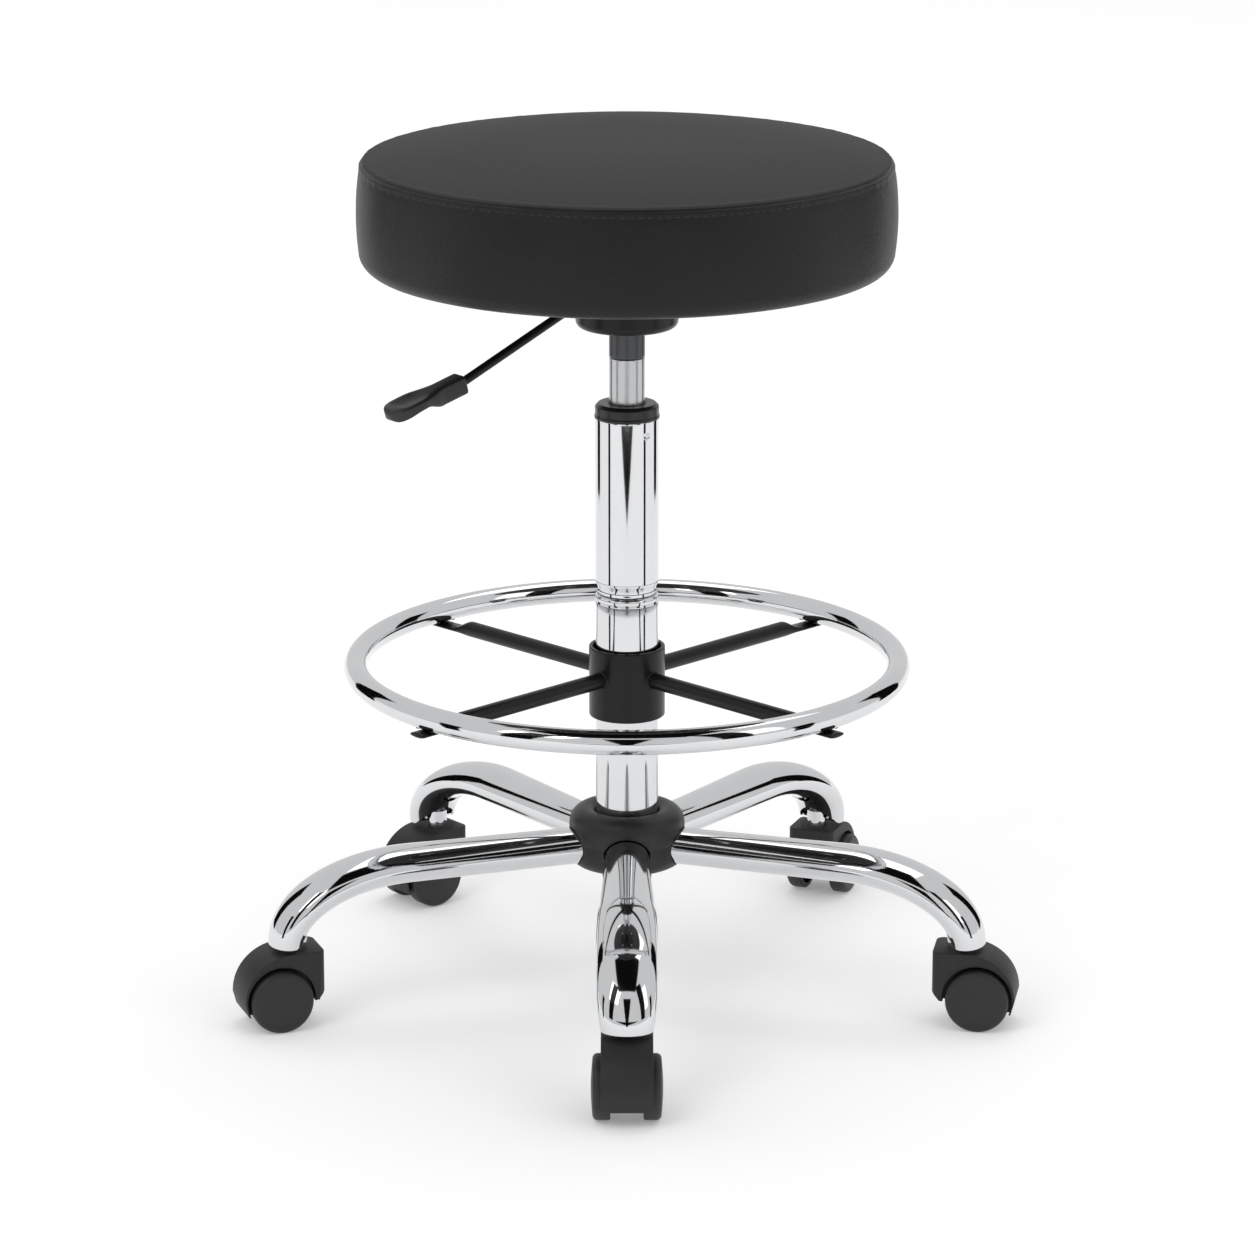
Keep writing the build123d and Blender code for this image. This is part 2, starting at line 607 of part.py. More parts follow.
def standpipe():
    """Outer tube: wide above, necked down inside the post, tapered into the hub core."""
    step = STANDPIPE_STEP
    shoulder = step + STANDPIPE_CHAMFER
    outside = [
        (0, STANDPIPE_FOOT),
        (STANDPIPE_FOOT_RADIUS, STANDPIPE_FOOT),
        (STANDPIPE_NECK_RADIUS, HUB_CORE_TOP),
        (STANDPIPE_NECK_RADIUS, step),
        (STANDPIPE_RADIUS, shoulder),
        (STANDPIPE_RADIUS, STANDPIPE_TOP),
        (0, STANDPIPE_TOP),
    ]
    plate = BEARING_LOW
    foot_bore = STANDPIPE_FOOT_RADIUS - STANDPIPE_WALL
    neck_end = shoulder + STANDPIPE_WALL
    inside = [
        (0, plate),
        (foot_bore, plate),
        (STANDPIPE_NECK_BORE, HUB_CORE_TOP),
        (STANDPIPE_NECK_BORE, step + STANDPIPE_WALL),
        (STANDPIPE_BORE, neck_end + STANDPIPE_CHAMFER),
        (STANDPIPE_BORE, STANDPIPE_TOP + 1),
        (0, STANDPIPE_TOP + 1),
    ]
    pipe = turned_polygon(*outside) - turned_polygon(*inside)
    pipe -= rod(foot_bore - 4.0, STANDPIPE_FOOT - 1, STANDPIPE_FOOT + FOOT_RECESS)
    return pipe - rod(ROD_STEP_RADIUS + RUNNING, STANDPIPE_FOOT - 1, plate + 1)


def post():
    """Chrome tube that covers the necked standpipe and that the foot ring slides on."""
    tube = sleeve(POST_RADIUS, POST_BORE, HUB_CORE_TOP, POST_TOP)
    return fillet(tube.edges().group_by(Axis.Z)[-1].sort_by(SortBy.LENGTH)[-1], 1.0)


def guide_bushing():
    """Plastic bushing in the top of the standpipe, with a cap on its rim."""
    cap_high = STANDPIPE_TOP + BUSHING_CAP
    cap = rod(STANDPIPE_RADIUS, STANDPIPE_TOP, cap_high)
    cap = chamfer(cap.edges().group_by(Axis.Z)[-1], BUSHING_BEVEL)
    lip_high = STANDPIPE_TOP + BUSHING_LIP_HEIGHT
    cap += rod(STANDPIPE_RADIUS + BUSHING_LIP, STANDPIPE_TOP, lip_high)
    bushing = cap + rod(STANDPIPE_BORE, STANDPIPE_TOP - BUSHING_LENGTH, STANDPIPE_TOP + 1)
    bore = CYLINDER_RADIUS + RUNNING
    bushing -= rod(bore, STANDPIPE_TOP - BUSHING_LENGTH - 1, cap_high + 1)
    bevel = Cone(bore, bore + BUSHING_BEVEL, BUSHING_BEVEL)
    return bushing - Pos(0, 0, cap_high - BUSHING_BEVEL / 2) * bevel


# ---------------------------------------------------------------- foot ring


def foot_ring():
    outside = Torus(RING_RADIUS, RING_TUBE_RADIUS)
    inside = Torus(RING_RADIUS, RING_TUBE_RADIUS - RING_TUBE_WALL)
    return Pos(0, 0, RING_HEIGHT) * (outside - inside)


def spoke_section(radius, half_width, half_height, height):
    """Oval across a spoke that points along +X."""
    return Plane(origin=(radius, 0, height), x_dir=(0, 1, 0), z_dir=(1, 0, 0)) \
        * Ellipse(half_width, half_height)


def ring_spokes():
    """Four tubes from the collar, their outer ends crushed flat under the ring."""
    flat_start = SPOKE_END - SPOKE_FLAT_LENGTH
    round_end = flat_start - SPOKE_BLEND
    flat_height = SPOKE_FLAT_TOP - SPOKE_FLAT / 2
    tube = extrude(spoke_section(0, SPOKE_RADIUS, SPOKE_RADIUS + 1e-3, SPOKE_HEIGHT), round_end)
    bore = extrude(spoke_section(0, SPOKE_RADIUS - SPOKE_WALL, SPOKE_RADIUS - SPOKE_WALL - 1e-3,
                                 SPOKE_HEIGHT), round_end - SPOKE_WALL)
    blend = loft([
        spoke_section(round_end, SPOKE_RADIUS, SPOKE_RADIUS + 1e-3, SPOKE_HEIGHT),
        spoke_section(flat_start, SPOKE_FLAT_HALF_WIDTH, SPOKE_FLAT / 2, flat_height),
    ])
    tongue = extrude(spoke_section(flat_start, SPOKE_FLAT_HALF_WIDTH, SPOKE_FLAT / 2, flat_height),
                     SPOKE_FLAT_LENGTH)
    spoke = tube - bore - rod(COLLAR_RADIUS, COLLAR_LOW, COLLAR_HIGH) + blend + tongue
    step = 360 / SPOKE_COUNT
    return [Rot(0, 0, SPOKE_FIRST_ANGLE + index * step) * spoke for index in range(SPOKE_COUNT)]


def screw_frame(distance):
    """Plane across the clamp screw, facing the back of the stool."""
    return Plane(origin=(0, distance, SCREW_HEIGHT), x_dir=(1, 0, 0), z_dir=(0, 1, 0))


def ring_collar():
    """Collar round the post with a nut for the clamp screw welded to its back."""
    collar = sleeve(COLLAR_RADIUS, COLLAR_RADIUS - COLLAR_WALL, COLLAR_LOW, COLLAR_HIGH)
    rims = collar.edges().filter_by(GeomType.CIRCLE).sort_by(SortBy.LENGTH)[-2:]
    collar = fillet(rims, COLLAR_WALL / 3)
    nut_start = COLLAR_RADIUS - COLLAR_WALL / 2
    collar += extrude(screw_frame(nut_start) * Circle(NUT_RADIUS), NUT_LENGTH + COLLAR_WALL / 2)
    bore_start = POST_RADIUS
    return collar - extrude(screw_frame(bore_start) * Circle(SCREW_RADIUS + RUNNING),
                            4 * NUT_LENGTH)


def clamp_screw():
    """Screw that presses on the post; its head is moulded into the knob."""
    return extrude(screw_frame(POST_RADIUS + APART) * Circle(SCREW_RADIUS), SCREW_LENGTH)


def clamp_knob():
    """Lobed plastic knob on the screw's outer end."""
    start = COLLAR_RADIUS + NUT_LENGTH + 4 * APART
    boss = extrude(screw_frame(start) * Circle(KNOB_BOSS_RADIUS), KNOB_BOSS + 1)
    grip = extrude(screw_frame(start + KNOB_BOSS) * Circle(KNOB_RADIUS), KNOB_LENGTH - KNOB_BOSS)
    for index in range(KNOB_LOBES):
        angle = radians(index * 360 / KNOB_LOBES)
        lobe = Pos(1.2 * KNOB_RADIUS * cos(angle), 1.2 * KNOB_RADIUS * sin(angle), 0) \
            * Circle(KNOB_LOBE_RADIUS)
        grip -= extrude(screw_frame(start) * lobe, 2 * KNOB_LENGTH)
    grip = fillet(grip.edges().group_by(Axis.Y)[-1], 1.5)
    screw_end = POST_RADIUS + APART + SCREW_LENGTH
    shank = extrude(screw_frame(start - 1) * Circle(SCREW_RADIUS + RUNNING), screw_end - start + 1.2)
    return boss + grip - shank


# ---------------------------------------------------------------- base


def leg_section(radius, height, lean, width, depth, inset):
    """Oval across a leg that points along +X; lean is how far the leg has turned down."""
    along = Vector(cos(radians(lean)), 0, -sin(radians(lean)))
    plane = Plane(origin=(radius, 0, height), x_dir=(0, 1, 0), z_dir=along)
    return plane * Ellipse(width / 2 - inset, depth / 2 - inset)


def leg_station(place, inset):
    """Section of a leg along +X. Up to 0, place is the distance before the bend; above 0 it is
    the share of the bend, a quarter of an ellipse that ends pointing straight down."""
    if place <= 0:
        radius = LEG_STRAIGHT + place
        share = max(0.0, (radius - HUB_RADIUS) / (LEG_STRAIGHT - HUB_RADIUS))
        width = LEG_ROOT_WIDTH + (LEG_MID_WIDTH - LEG_ROOT_WIDTH) * share
        return leg_section(radius, LEG_HEIGHT, 0, width, LEG_ROOT_DEPTH, inset)
    turn = radians(90 * place)
    radius = LEG_STRAIGHT + LEG_BEND_REACH * sin(turn)
    height = LEG_END + LEG_BEND_DROP * cos(turn)
    lean = degrees(atan2(LEG_BEND_DROP * sin(turn), LEG_BEND_REACH * cos(turn)))
    swell = (LEG_KNEE_WIDTH - LEG_MID_WIDTH) * sin(min(1.0, 2 * place) * pi / 2)
    narrow = (LEG_KNEE_WIDTH - LEG_END_WIDTH) * max(0.0, 2 * place - 1) ** 2
    depth = LEG_ROOT_DEPTH + (LEG_END_DEPTH - LEG_ROOT_DEPTH) * place
    return leg_section(radius, height, lean, LEG_MID_WIDTH + swell - narrow, depth, inset)


def leg_shape(inset):
    """Leg along +X: straight out of the hub core, then bent down to its end."""
    straight = LEG_STRAIGHT - HUB_CORE_RADIUS + LEG_BUTT
    places = [-straight * (1 - step / LEG_STATIONS) for step in range(LEG_STATIONS)]
    places += [step / LEG_STATIONS for step in range(LEG_STATIONS + 1)]
    return loft([leg_station(place, inset) for place in places])


def leg_mouth():
    """Space cut from the hub side of the leg's outer end, around the socket."""
    run = MOUTH_END - MOUTH_START
    fall = (MOUTH_START_HEIGHT - LEG_END) / run
    below = 20.0
    inner = MOUTH_START - 45.0
    outline = [
        (inner, LEG_END - below),
        (MOUTH_END + below / fall, LEG_END - below),
        (MOUTH_START, MOUTH_START_HEIGHT),
        (inner, MOUTH_START_HEIGHT),
    ]
    side = Plane.XZ * make_face(Polyline(*outline, close=True))
    return extrude(side, LEG_KNEE_WIDTH, both=True)


def leg():
    """Bent oval tube, butted against the hub core, its outer end open towards the hub."""
    tube = leg_shape(0) - leg_shape(LEG_WALL) - leg_mouth()
    socket = rod(SOCKET_RADIUS + RUNNING, SOCKET_LOW - 1, SOCKET_HIGH + APART)
    tube -= Pos(STEM_CIRCLE, 0, 0) * socket
    return tube - rod(HUB_CORE_RADIUS, HUB_LOW, HUB_TOP)


def stem_sockets():
    """Caster sockets: a sleeve on a plate that is welded across each leg's open end."""
    sleeve_shape = sleeve(SOCKET_RADIUS, SOCKET_BORE, SOCKET_LOW, SOCKET_HIGH)
    slab_size = 3 * SOCKET_RADIUS
    slab_middle = SOCKET_LOW + SOCKET_PLATE_RISE + SOCKET_PLATE / 2
    slab = Pos(STEM_CIRCLE + slab_size / 2, 0, slab_middle) \
        * Box(slab_size, 2 * LEG_KNEE_WIDTH, SOCKET_PLATE)
    plate = (leg_shape(LEG_WALL + RUNNING) & slab) - leg_mouth()
    plate -= Pos(STEM_CIRCLE, 0, 0) * rod(SOCKET_RADIUS, SOCKET_LOW - 1, SOCKET_HIGH)
    socket = Pos(STEM_CIRCLE, 0, 0) * sleeve_shape + plate
    return [Rot(0, 0, leg_angle(index)) * socket for index in range(LEG_COUNT)]


def grip_rings():
    """Split spring rings, seated in the sockets, that hold the stems by their grooves."""
    inner = STEM_RADIUS - GRIP_RING_DEPTH + RUNNING
    ring = sleeve(SOCKET_BORE, inner, GRIP_RING_LOW, GRIP_RING_LOW + GRIP_RING_HEIGHT)
    ring -= Pos(STEM_RADIUS, 0, GRIP_RING_LOW) \
        * Box(2 * STEM_RADIUS, GRIP_RING_SLOT, 4 * GRIP_RING_HEIGHT)
    return [Pos(polar(STEM_CIRCLE, leg_angle(index))) * ring for index in range(LEG_COUNT)]


def hub_core():
    """Steel hub that the legs are welded to, bored to the standpipe's taper."""
    core = rod(HUB_CORE_RADIUS, STANDPIPE_FOOT, HUB_CORE_TOP)
    taper = Cone(STANDPIPE_FOOT_RADIUS, STANDPIPE_NECK_RADIUS, HUB_CORE_TOP - STANDPIPE_FOOT)
    return core - Pos(0, 0, (STANDPIPE_FOOT + HUB_CORE_TOP) / 2) * taper


def hub_shape(inset):
    """Outside of the whole hub cover, drawn inwards by inset."""
    side = HUB_RADIUS - inset
    top = HUB_TOP - inset
    low = HUB_LOW + inset
    shoulder = HUB_SHOULDER_RADIUS - inset / 2
    turn = HUB_LOWER_ROUND
    post_edge = POST_RADIUS + APART
    edges = [
        Line((0, low), (side - turn, low)),
        RadiusArc((side - turn, low), (side, low + turn), -turn),
        Line((side, low + turn), (side, HUB_TOP - HUB_SHOULDER_DROP)),
        Spline((side, HUB_TOP - HUB_SHOULDER_DROP), (shoulder, top),
               tangents=[(0, 1), (-1, 0.15)]),
        Spline((shoulder, top), (post_edge, top - HUB_DISH), tangents=[(-1, 0), (-0.5, -1)]),
        Line((post_edge, top - HUB_DISH), (0, top - HUB_DISH)),
        Line((0, top - HUB_DISH), (0, low)),
    ]
    return turned(edges)


def hub_shell():
    """Hollow hub cover with an arched notch over each leg, open below."""
    shell = hub_shape(0) - hub_shape(HUB_WALL)
    shell -= rod(POST_RADIUS + APART, HUB_CORE_TOP, HUB_TOP + 1)
    shell -= rod(HUB_CORE_RADIUS + 2.0, HUB_LOW - 1, HUB_LOW + 2 * HUB_WALL)
    half_width = LEG_ROOT_WIDTH / 2 + HUB_GAP
    half_depth = LEG_ROOT_DEPTH / 2 + HUB_GAP
    arch = Plane(origin=(0, 0, LEG_HEIGHT), x_dir=(0, 1, 0), z_dir=(1, 0, 0)) \
        * Ellipse(half_width, half_depth)
    notch = extrude(arch, 2 * HUB_RADIUS)
    rise = HUB_SEAM - LEG_HEIGHT
    notch += Pos(HUB_RADIUS, 0, LEG_HEIGHT + rise / 2) * Box(2 * HUB_RADIUS, 2 * half_width, rise)
    for index in range(LEG_COUNT):
        shell -= Rot(0, 0, leg_angle(index)) * notch
    return shell


def hub_cover_top():
    return hub_shell() & rod(2 * HUB_RADIUS, HUB_SEAM, HUB_TOP + 1)


def hub_cover_bottom():
    return hub_shell() & rod(2 * HUB_RADIUS, HUB_LOW - 1, HUB_SEAM)


# ---------------------------------------------------------------- casters


def hood_outline():
    """Side view of the caster's hood: stem at the origin, axle behind it along -X."""
    back_low = (-TRAIL - (HOOD_BACK - TRAIL) * HOOD_TUCK, HOOD_BACK_LOW)
    flat_end = (-HOOD_FLAT_END, HOOD_TOP)
    back = (-HOOD_BACK, WHEEL_RADIUS)
    chamfer_end = (HOOD_FRONT - HOOD_FRONT_CHAMFER, HOOD_FRONT_LOW - HOOD_FRONT_CHAMFER)
    edges = [
        Line((HOOD_FRONT, HOOD_FRONT_LOW), (HOOD_FRONT, HOOD_TOP)),
        Line((HOOD_FRONT, HOOD_TOP), flat_end),
        EllipticalCenterArc((-HOOD_FLAT_END, WHEEL_RADIUS), HOOD_BACK - HOOD_FLAT_END,
                            HOOD_TOP - WHEEL_RADIUS, start_angle=90, arc_size=90),
        Line(back, back_low),
        Line(back_low, (-TRAIL, HOOD_BACK_LOW)),
        Line((-TRAIL, HOOD_BACK_LOW), chamfer_end),
        Line(chamfer_end, (HOOD_FRONT, HOOD_FRONT_LOW)),
    ]
    return make_face(Wire(edges))


def caster_hood():
    """Moulded hood: an arch over both wheels, a web between them and a boss for the stem."""
    hood = extrude(Plane.XZ * hood_outline(), HOOD_HALF_WIDTH, both=True)
    corners = hood.edges().filter_by(Axis.Z).group_by(Axis.X)[-1]
    hood = fillet(corners, HOOD_CORNER)
    axle_frame = Plane(origin=(-TRAIL, 0, WHEEL_RADIUS), x_dir=(1, 0, 0), z_dir=(0, -1, 0))
    pocket_depth = 2 * HOOD_HALF_WIDTH
    for side in (-1, 1):
        offset = side * (WEB_HALF + pocket_depth / 2)
        hood -= axle_frame * Pos(0, 0, offset) * Cylinder(WHEEL_POCKET, pocket_depth)
    web = axle_frame * Cylinder(WHEEL_RADIUS - WEB_LOW, 2 * WEB_HALF)
    hood += web
    hood -= rod(STEM_RADIUS, HOOD_TOP - STEM_SEAT, HOOD_TOP + 1)
    return hood - axle_frame * Cylinder(AXLE_RADIUS, 4 * HOOD_HALF_WIDTH)


def caster_stem():
    """Stem with a collar, a groove for the grip ring and a rounded tip."""
    stem = rod(STEM_RADIUS, HOOD_TOP - STEM_SEAT, SOCKET_HIGH)
    stem += rod(STEM_COLLAR_RADIUS, HOOD_TOP, STEM_COLLAR_HIGH)
    tip = rod(STEM_TIP_RADIUS, SOCKET_HIGH, SOCKET_HIGH + STEM_TIP)
    stem += fillet(tip.edges().group_by(Axis.Z)[-1], STEM_TIP_RADIUS - 0.6)
    inner = STEM_RADIUS - GRIP_RING_DEPTH
    groove_low = GRIP_RING_LOW - RUNNING
    groove_high = GRIP_RING_LOW + GRIP_RING_HEIGHT + RUNNING
    return stem - sleeve(STEM_RADIUS + 1, inner, groove_low, groove_high)


def caster_axle():
    half_length = WHEEL_OUTER - AXLE_SHORT
    axle = Plane(origin=(-TRAIL, 0, WHEEL_RADIUS), x_dir=(1, 0, 0), z_dir=(0, -1, 0)) \
        * Cylinder(AXLE_RADIUS, 2 * half_length)
    return chamfer(axle.edges().filter_by(GeomType.CIRCLE), 0.4)


def caster_wheel(side):
    """Wheel turned about its axle: tread and domed outer face, hollow behind, with a boss."""
    inner = WHEEL_INNER
    outer = WHEEL_OUTER
    face_edge = outer - WHEEL_DOME
    edge = WHEEL_RADIUS - WHEEL_ROUND
    outside = [
        Line((0, inner), (WHEEL_RADIUS - 1, inner)),
        Line((WHEEL_RADIUS - 1, inner), (WHEEL_RADIUS, inner + 1)),
        Line((WHEEL_RADIUS, inner + 1), (WHEEL_RADIUS, face_edge - WHEEL_ROUND)),
        RadiusArc((WHEEL_RADIUS, face_edge - WHEEL_ROUND), (edge, face_edge), -WHEEL_ROUND),
        Spline((edge, face_edge), (0, outer), tangents=[(-1, 0.25), (-1, 0)]),
        Line((0, outer), (0, inner)),
    ]
    wheel = turned(outside)
    hollow_high = face_edge - WHEEL_FACE
    wheel -= sleeve(WHEEL_RADIUS - WHEEL_RIM, WHEEL_BOSS_RADIUS, inner - 1, hollow_high)
    wheel -= rod(AXLE_RADIUS + RUNNING, inner - 1, WHEEL_OUTER - AXLE_SHORT + APART)
    axle_frame = Plane(origin=(-TRAIL, 0, WHEEL_RADIUS), x_dir=(1, 0, 0), z_dir=(0, -side, 0))
    return axle_frame * wheel


def caster_pieces():
    """Pieces of one caster, stem at the origin and axle along -X."""
    return {
        "caster_hood": caster_hood(),
        "caster_stem": caster_stem(),
        "caster_axle": caster_axle(),
        "wheel_a": caster_wheel(1),
        "wheel_b": caster_wheel(-1),
    }


# ---------------------------------------------------------------- assembly


def make_parts():
    """Every sub-part about the column's axis, by node name."""
    parts = {
        "seat_cover": seat_cover(),
        "seat_foam": seat_foam(),
        "seat_board": seat_board(),
        "dust_cover": dust_cover(),
        "plate_bolts": plate_bolts(),
        "seat_mount": seat_mount(),
        "lever_pivot": lever_pivot(),
        "lever_rod": lever_rod(),
        "lever_handle": lever_handle(),
        "gas_cylinder": gas_cylinder(),
        "rod_guide": rod_guide(),
        "release_pin": release_pin(),
        "piston_rod": piston_rod(),
        "piston": piston(),
        "bumper": bumper(),
        "rod_clip": rod_clip(),
        "thrust_bearing": thrust_bearing(),
        "standpipe": standpipe(),
        "post": post(),
        "guide_bushing": guide_bushing(),
        "foot_ring": foot_ring(),
        "ring_spokes": ring_spokes(),
        "ring_collar": ring_collar(),
        "clamp_screw": clamp_screw(),
        "clamp_knob": clamp_knob(),
        "hub_core": hub_core(),
        "hub_cover_top": hub_cover_top(),
        "hub_cover_bottom": hub_cover_bottom(),
        "stem_sockets": stem_sockets(),
        "grip_rings": grip_rings(),
    }
    one_leg = leg()
    one_caster = caster_pieces()
    for index, name in enumerate(LEG_NAMES):
        angle = leg_angle(index)
        parts[f"{name}_leg"] = Rot(0, 0, angle) * one_leg
        place = Pos(polar(STEM_CIRCLE, angle)) * Rot(0, 0, CASTER_HEADINGS[name] - 180)
        for piece, shape in one_caster.items():
            parts[f"{name}_{piece}"] = place * shape
    return parts


def solids_of(piece):
    """Separate solids of a node, which is one shape or a list of them."""
    shapes = piece if isinstance(piece, list) else [piece]
    return [solid for shape in shapes for solid in shape.solids()]


def footprint_shift(parts):
    """Distance along Y that brings the middle of the footprint to the origin."""
    boxes = [solid.bounding_box() for solids in parts.values() for solid in solids]
    front = min(box.min.Y for box in boxes)
    back = max(box.max.Y for box in boxes)
    return -(front + back) / 2


def write_parts(parts, shift):
    os.makedirs("parts", exist_ok=True)
    for name, solids in parts.items():
        moved = [solid.moved(Location((0, shift, 0))) for solid in solids]
        shape = moved[0] if len(moved) == 1 else Compound(children=moved)
        export_step(shape, f"parts/{name}.step")


PARTS = {name: solids_of(piece) for name, piece in make_parts().items()}
COLUMN_Y = footprint_shift(PARTS)
write_parts(PARTS, COLUMN_Y)
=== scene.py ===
import json
import math

import bmesh
import bpy
from mathutils import Matrix, Vector, kdtree, noise


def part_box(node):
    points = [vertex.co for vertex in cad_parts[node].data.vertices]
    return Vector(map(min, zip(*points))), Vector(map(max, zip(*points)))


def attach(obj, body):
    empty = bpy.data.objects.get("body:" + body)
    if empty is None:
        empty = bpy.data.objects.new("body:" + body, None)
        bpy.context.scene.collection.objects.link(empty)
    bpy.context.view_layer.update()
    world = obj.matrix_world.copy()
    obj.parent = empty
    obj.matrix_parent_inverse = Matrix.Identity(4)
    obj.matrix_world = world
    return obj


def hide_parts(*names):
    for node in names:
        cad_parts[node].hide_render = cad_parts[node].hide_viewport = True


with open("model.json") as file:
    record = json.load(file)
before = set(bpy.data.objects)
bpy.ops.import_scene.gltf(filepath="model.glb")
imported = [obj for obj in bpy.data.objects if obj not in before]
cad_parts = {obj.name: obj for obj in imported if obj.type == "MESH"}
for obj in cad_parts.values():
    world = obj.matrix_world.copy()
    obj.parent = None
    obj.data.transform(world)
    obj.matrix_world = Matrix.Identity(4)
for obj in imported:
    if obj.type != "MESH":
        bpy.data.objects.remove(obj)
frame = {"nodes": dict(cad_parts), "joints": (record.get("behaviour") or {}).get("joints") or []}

bl_info = {
    "name": "Adjustable Swivel Stool",
    "version": (1, 0, 0),
    "blender": (4, 5, 0),
    "location": "View3D > Sidebar > Stool",
    "description": "Builds the looks of an adjustable swivel stool on its packed frame",
    "category": "Object",
}

LEGS = ("front", "right", "rear_right", "rear_left", "left")
JOINTS = {joint["name"]: joint for joint in frame["joints"]}
MM = 0.001

# cloth run of the seat pad, and how its movement is evened round the pad
CLOTH_FRAMES = 20
CLOTH_START_STEPS, PAD_STEPS = 96, 384
SEAM_HOLD = 11 * MM
EVEN_TURNS, EVEN_REACH, EVEN_SPREAD = 24, 14 * MM, 7 * MM
PROFILE_POINTS = 44

# dark cards round the stool: direction from the front and distance, half angle at the foot and
# at the top, low and high
DARK_CARDS = (
    (0, 1.2, 1.0, 26.0, 0.083, 0.190), (-66, 0.95, 3.5, 5.0, 0.0, 0.45),
    (66, 0.95, 3.5, 5.0, 0.0, 0.45), (-122, 1.6, 9.0, 9.0, 0.0, 1.2),
    (122, 1.6, 9.0, 9.0, 0.0, 1.2), (42, 2.2, 6.0, 11.0, 0.25, 3.4),
    (-42, 2.2, 6.0, 11.0, 0.25, 3.4), (0, 2.4, 2.0, 11.0, 0.0, 2.3),
)
# the card that lies flat overhead: half width, front, back and height
OVERHEAD_CARD = (0.75, -1.5, 0.1, 2.0)
# name, place, what it points at, size and power
LIGHTS = (
    ("key_light", (-1.9, -2.2, 3.0), (0, 0, 0.35), (1.8, 1.8), 24),
    ("fill_light", (2.4, -1.8, 2.0), (0, 0, 0.35), (1.4, 2.0), 9),
    ("top_light", (0.3, 1.2, 3.4), (0, 0, 0.5), (2.6, 2.0), 20),
)


# ------------------------------------------------------------------ settings


class StoolSeatSettings(bpy.types.PropertyGroup):
    """Sizes of the padded seat"""

    radius: bpy.props.FloatProperty(
        name="Radius", description="Widest radius of the side band",
        default=0.210, min=0.1, unit="LENGTH")
    seam_inset: bpy.props.FloatProperty(
        name="Seam Inset", description="How far the top seam lies inside the widest line",
        default=0.003, unit="LENGTH")
    band: bpy.props.FloatProperty(
        name="Band", description="Height of the side band up to the seam",
        default=0.084, unit="LENGTH")
    flat: bpy.props.FloatProperty(
        name="Flat Middle", description="Radius of the level middle of the top panel",
        default=0.060, unit="LENGTH")
    bottom_round: bpy.props.FloatProperty(
        name="Bottom Rounding", description="Radius where the band turns under",
        default=0.014, unit="LENGTH")
    shrink: bpy.props.FloatProperty(
        name="Starting Shrink", description="How much smaller the pad starts before it is blown up",
        default=0.002, unit="LENGTH")
    swell: bpy.props.FloatProperty(
        name="Largest Swell", description="Farthest that blowing up may move a point",
        default=0.003, unit="LENGTH")
    voxel: bpy.props.FloatProperty(
        name="Voxel", description="Cell size of the mesh that the cloth is run on",
        default=0.006, min=0.003, unit="LENGTH")
    pressure: bpy.props.FloatProperty(
        name="Pressure", description="Pressure inside the cloth", default=4.0)
    groove: bpy.props.FloatProperty(
        name="Seam Groove", description="Depth of the groove along the seam",
        default=0.0016, unit="LENGTH")
    stitches: bpy.props.IntProperty(
        name="Stitches", description="Stitches round the band", default=190, min=12)
    stitch_drop: bpy.props.FloatProperty(
        name="Stitch Drop", description="Distance of the stitches below the seam",
        default=0.0065, unit="LENGTH")
    staples: bpy.props.IntProperty(
        name="Staples", description="Staples round the underside", default=44, min=0)


class StoolMetalSettings(bpy.types.PropertyGroup):
    """Roundness of the turned and bent pieces"""

    steps: bpy.props.IntProperty(
        name="Steps", description="Faces round a turned piece", default=128, min=24)
    ring_steps: bpy.props.IntProperty(
        name="Ring Steps", description="Sections round the foot ring", default=256, min=48)
    edge: bpy.props.FloatProperty(
        name="Edge", description="Width of the bevel on a turned edge",
        default=0.0006, unit="LENGTH")


class StoolLegSettings(bpy.types.PropertyGroup):
    """Shape of one bent leg"""

    height: bpy.props.FloatProperty(
        name="Height", description="Centre line where the leg leaves the hub",
        default=0.1218, unit="LENGTH")
    straight: bpy.props.FloatProperty(
        name="Straight", description="Radius at which the bend starts",
        default=0.180, unit="LENGTH")
    reach: bpy.props.FloatProperty(
        name="Bend Reach", description="Horizontal reach of the bend",
        default=0.101, unit="LENGTH")
    end: bpy.props.FloatProperty(
        name="End", description="Height of the cut end", default=0.066, unit="LENGTH")
    wall: bpy.props.FloatProperty(
        name="Wall", description="Thickness of the tube", default=0.002, unit="LENGTH")
    widths: bpy.props.FloatVectorProperty(
        name="Widths", description="Width at the hub, before the bend, at the knee and at the end",
        size=4, default=(0.035, 0.046, 0.0474, 0.040), unit="LENGTH")
    depths: bpy.props.FloatVectorProperty(
        name="Depths", description="Depth at the hub and at the end",
        size=2, default=(0.0285, 0.0275), unit="LENGTH")
    mouth: bpy.props.FloatVectorProperty(
        name="Mouth",
        description="Where the opening starts: distance and height, and where it ends",
        size=3, default=(0.243, 0.097, 0.277), unit="LENGTH")
    sections: bpy.props.IntProperty(
        name="Sections", description="Sections along the leg", default=64, min=12)


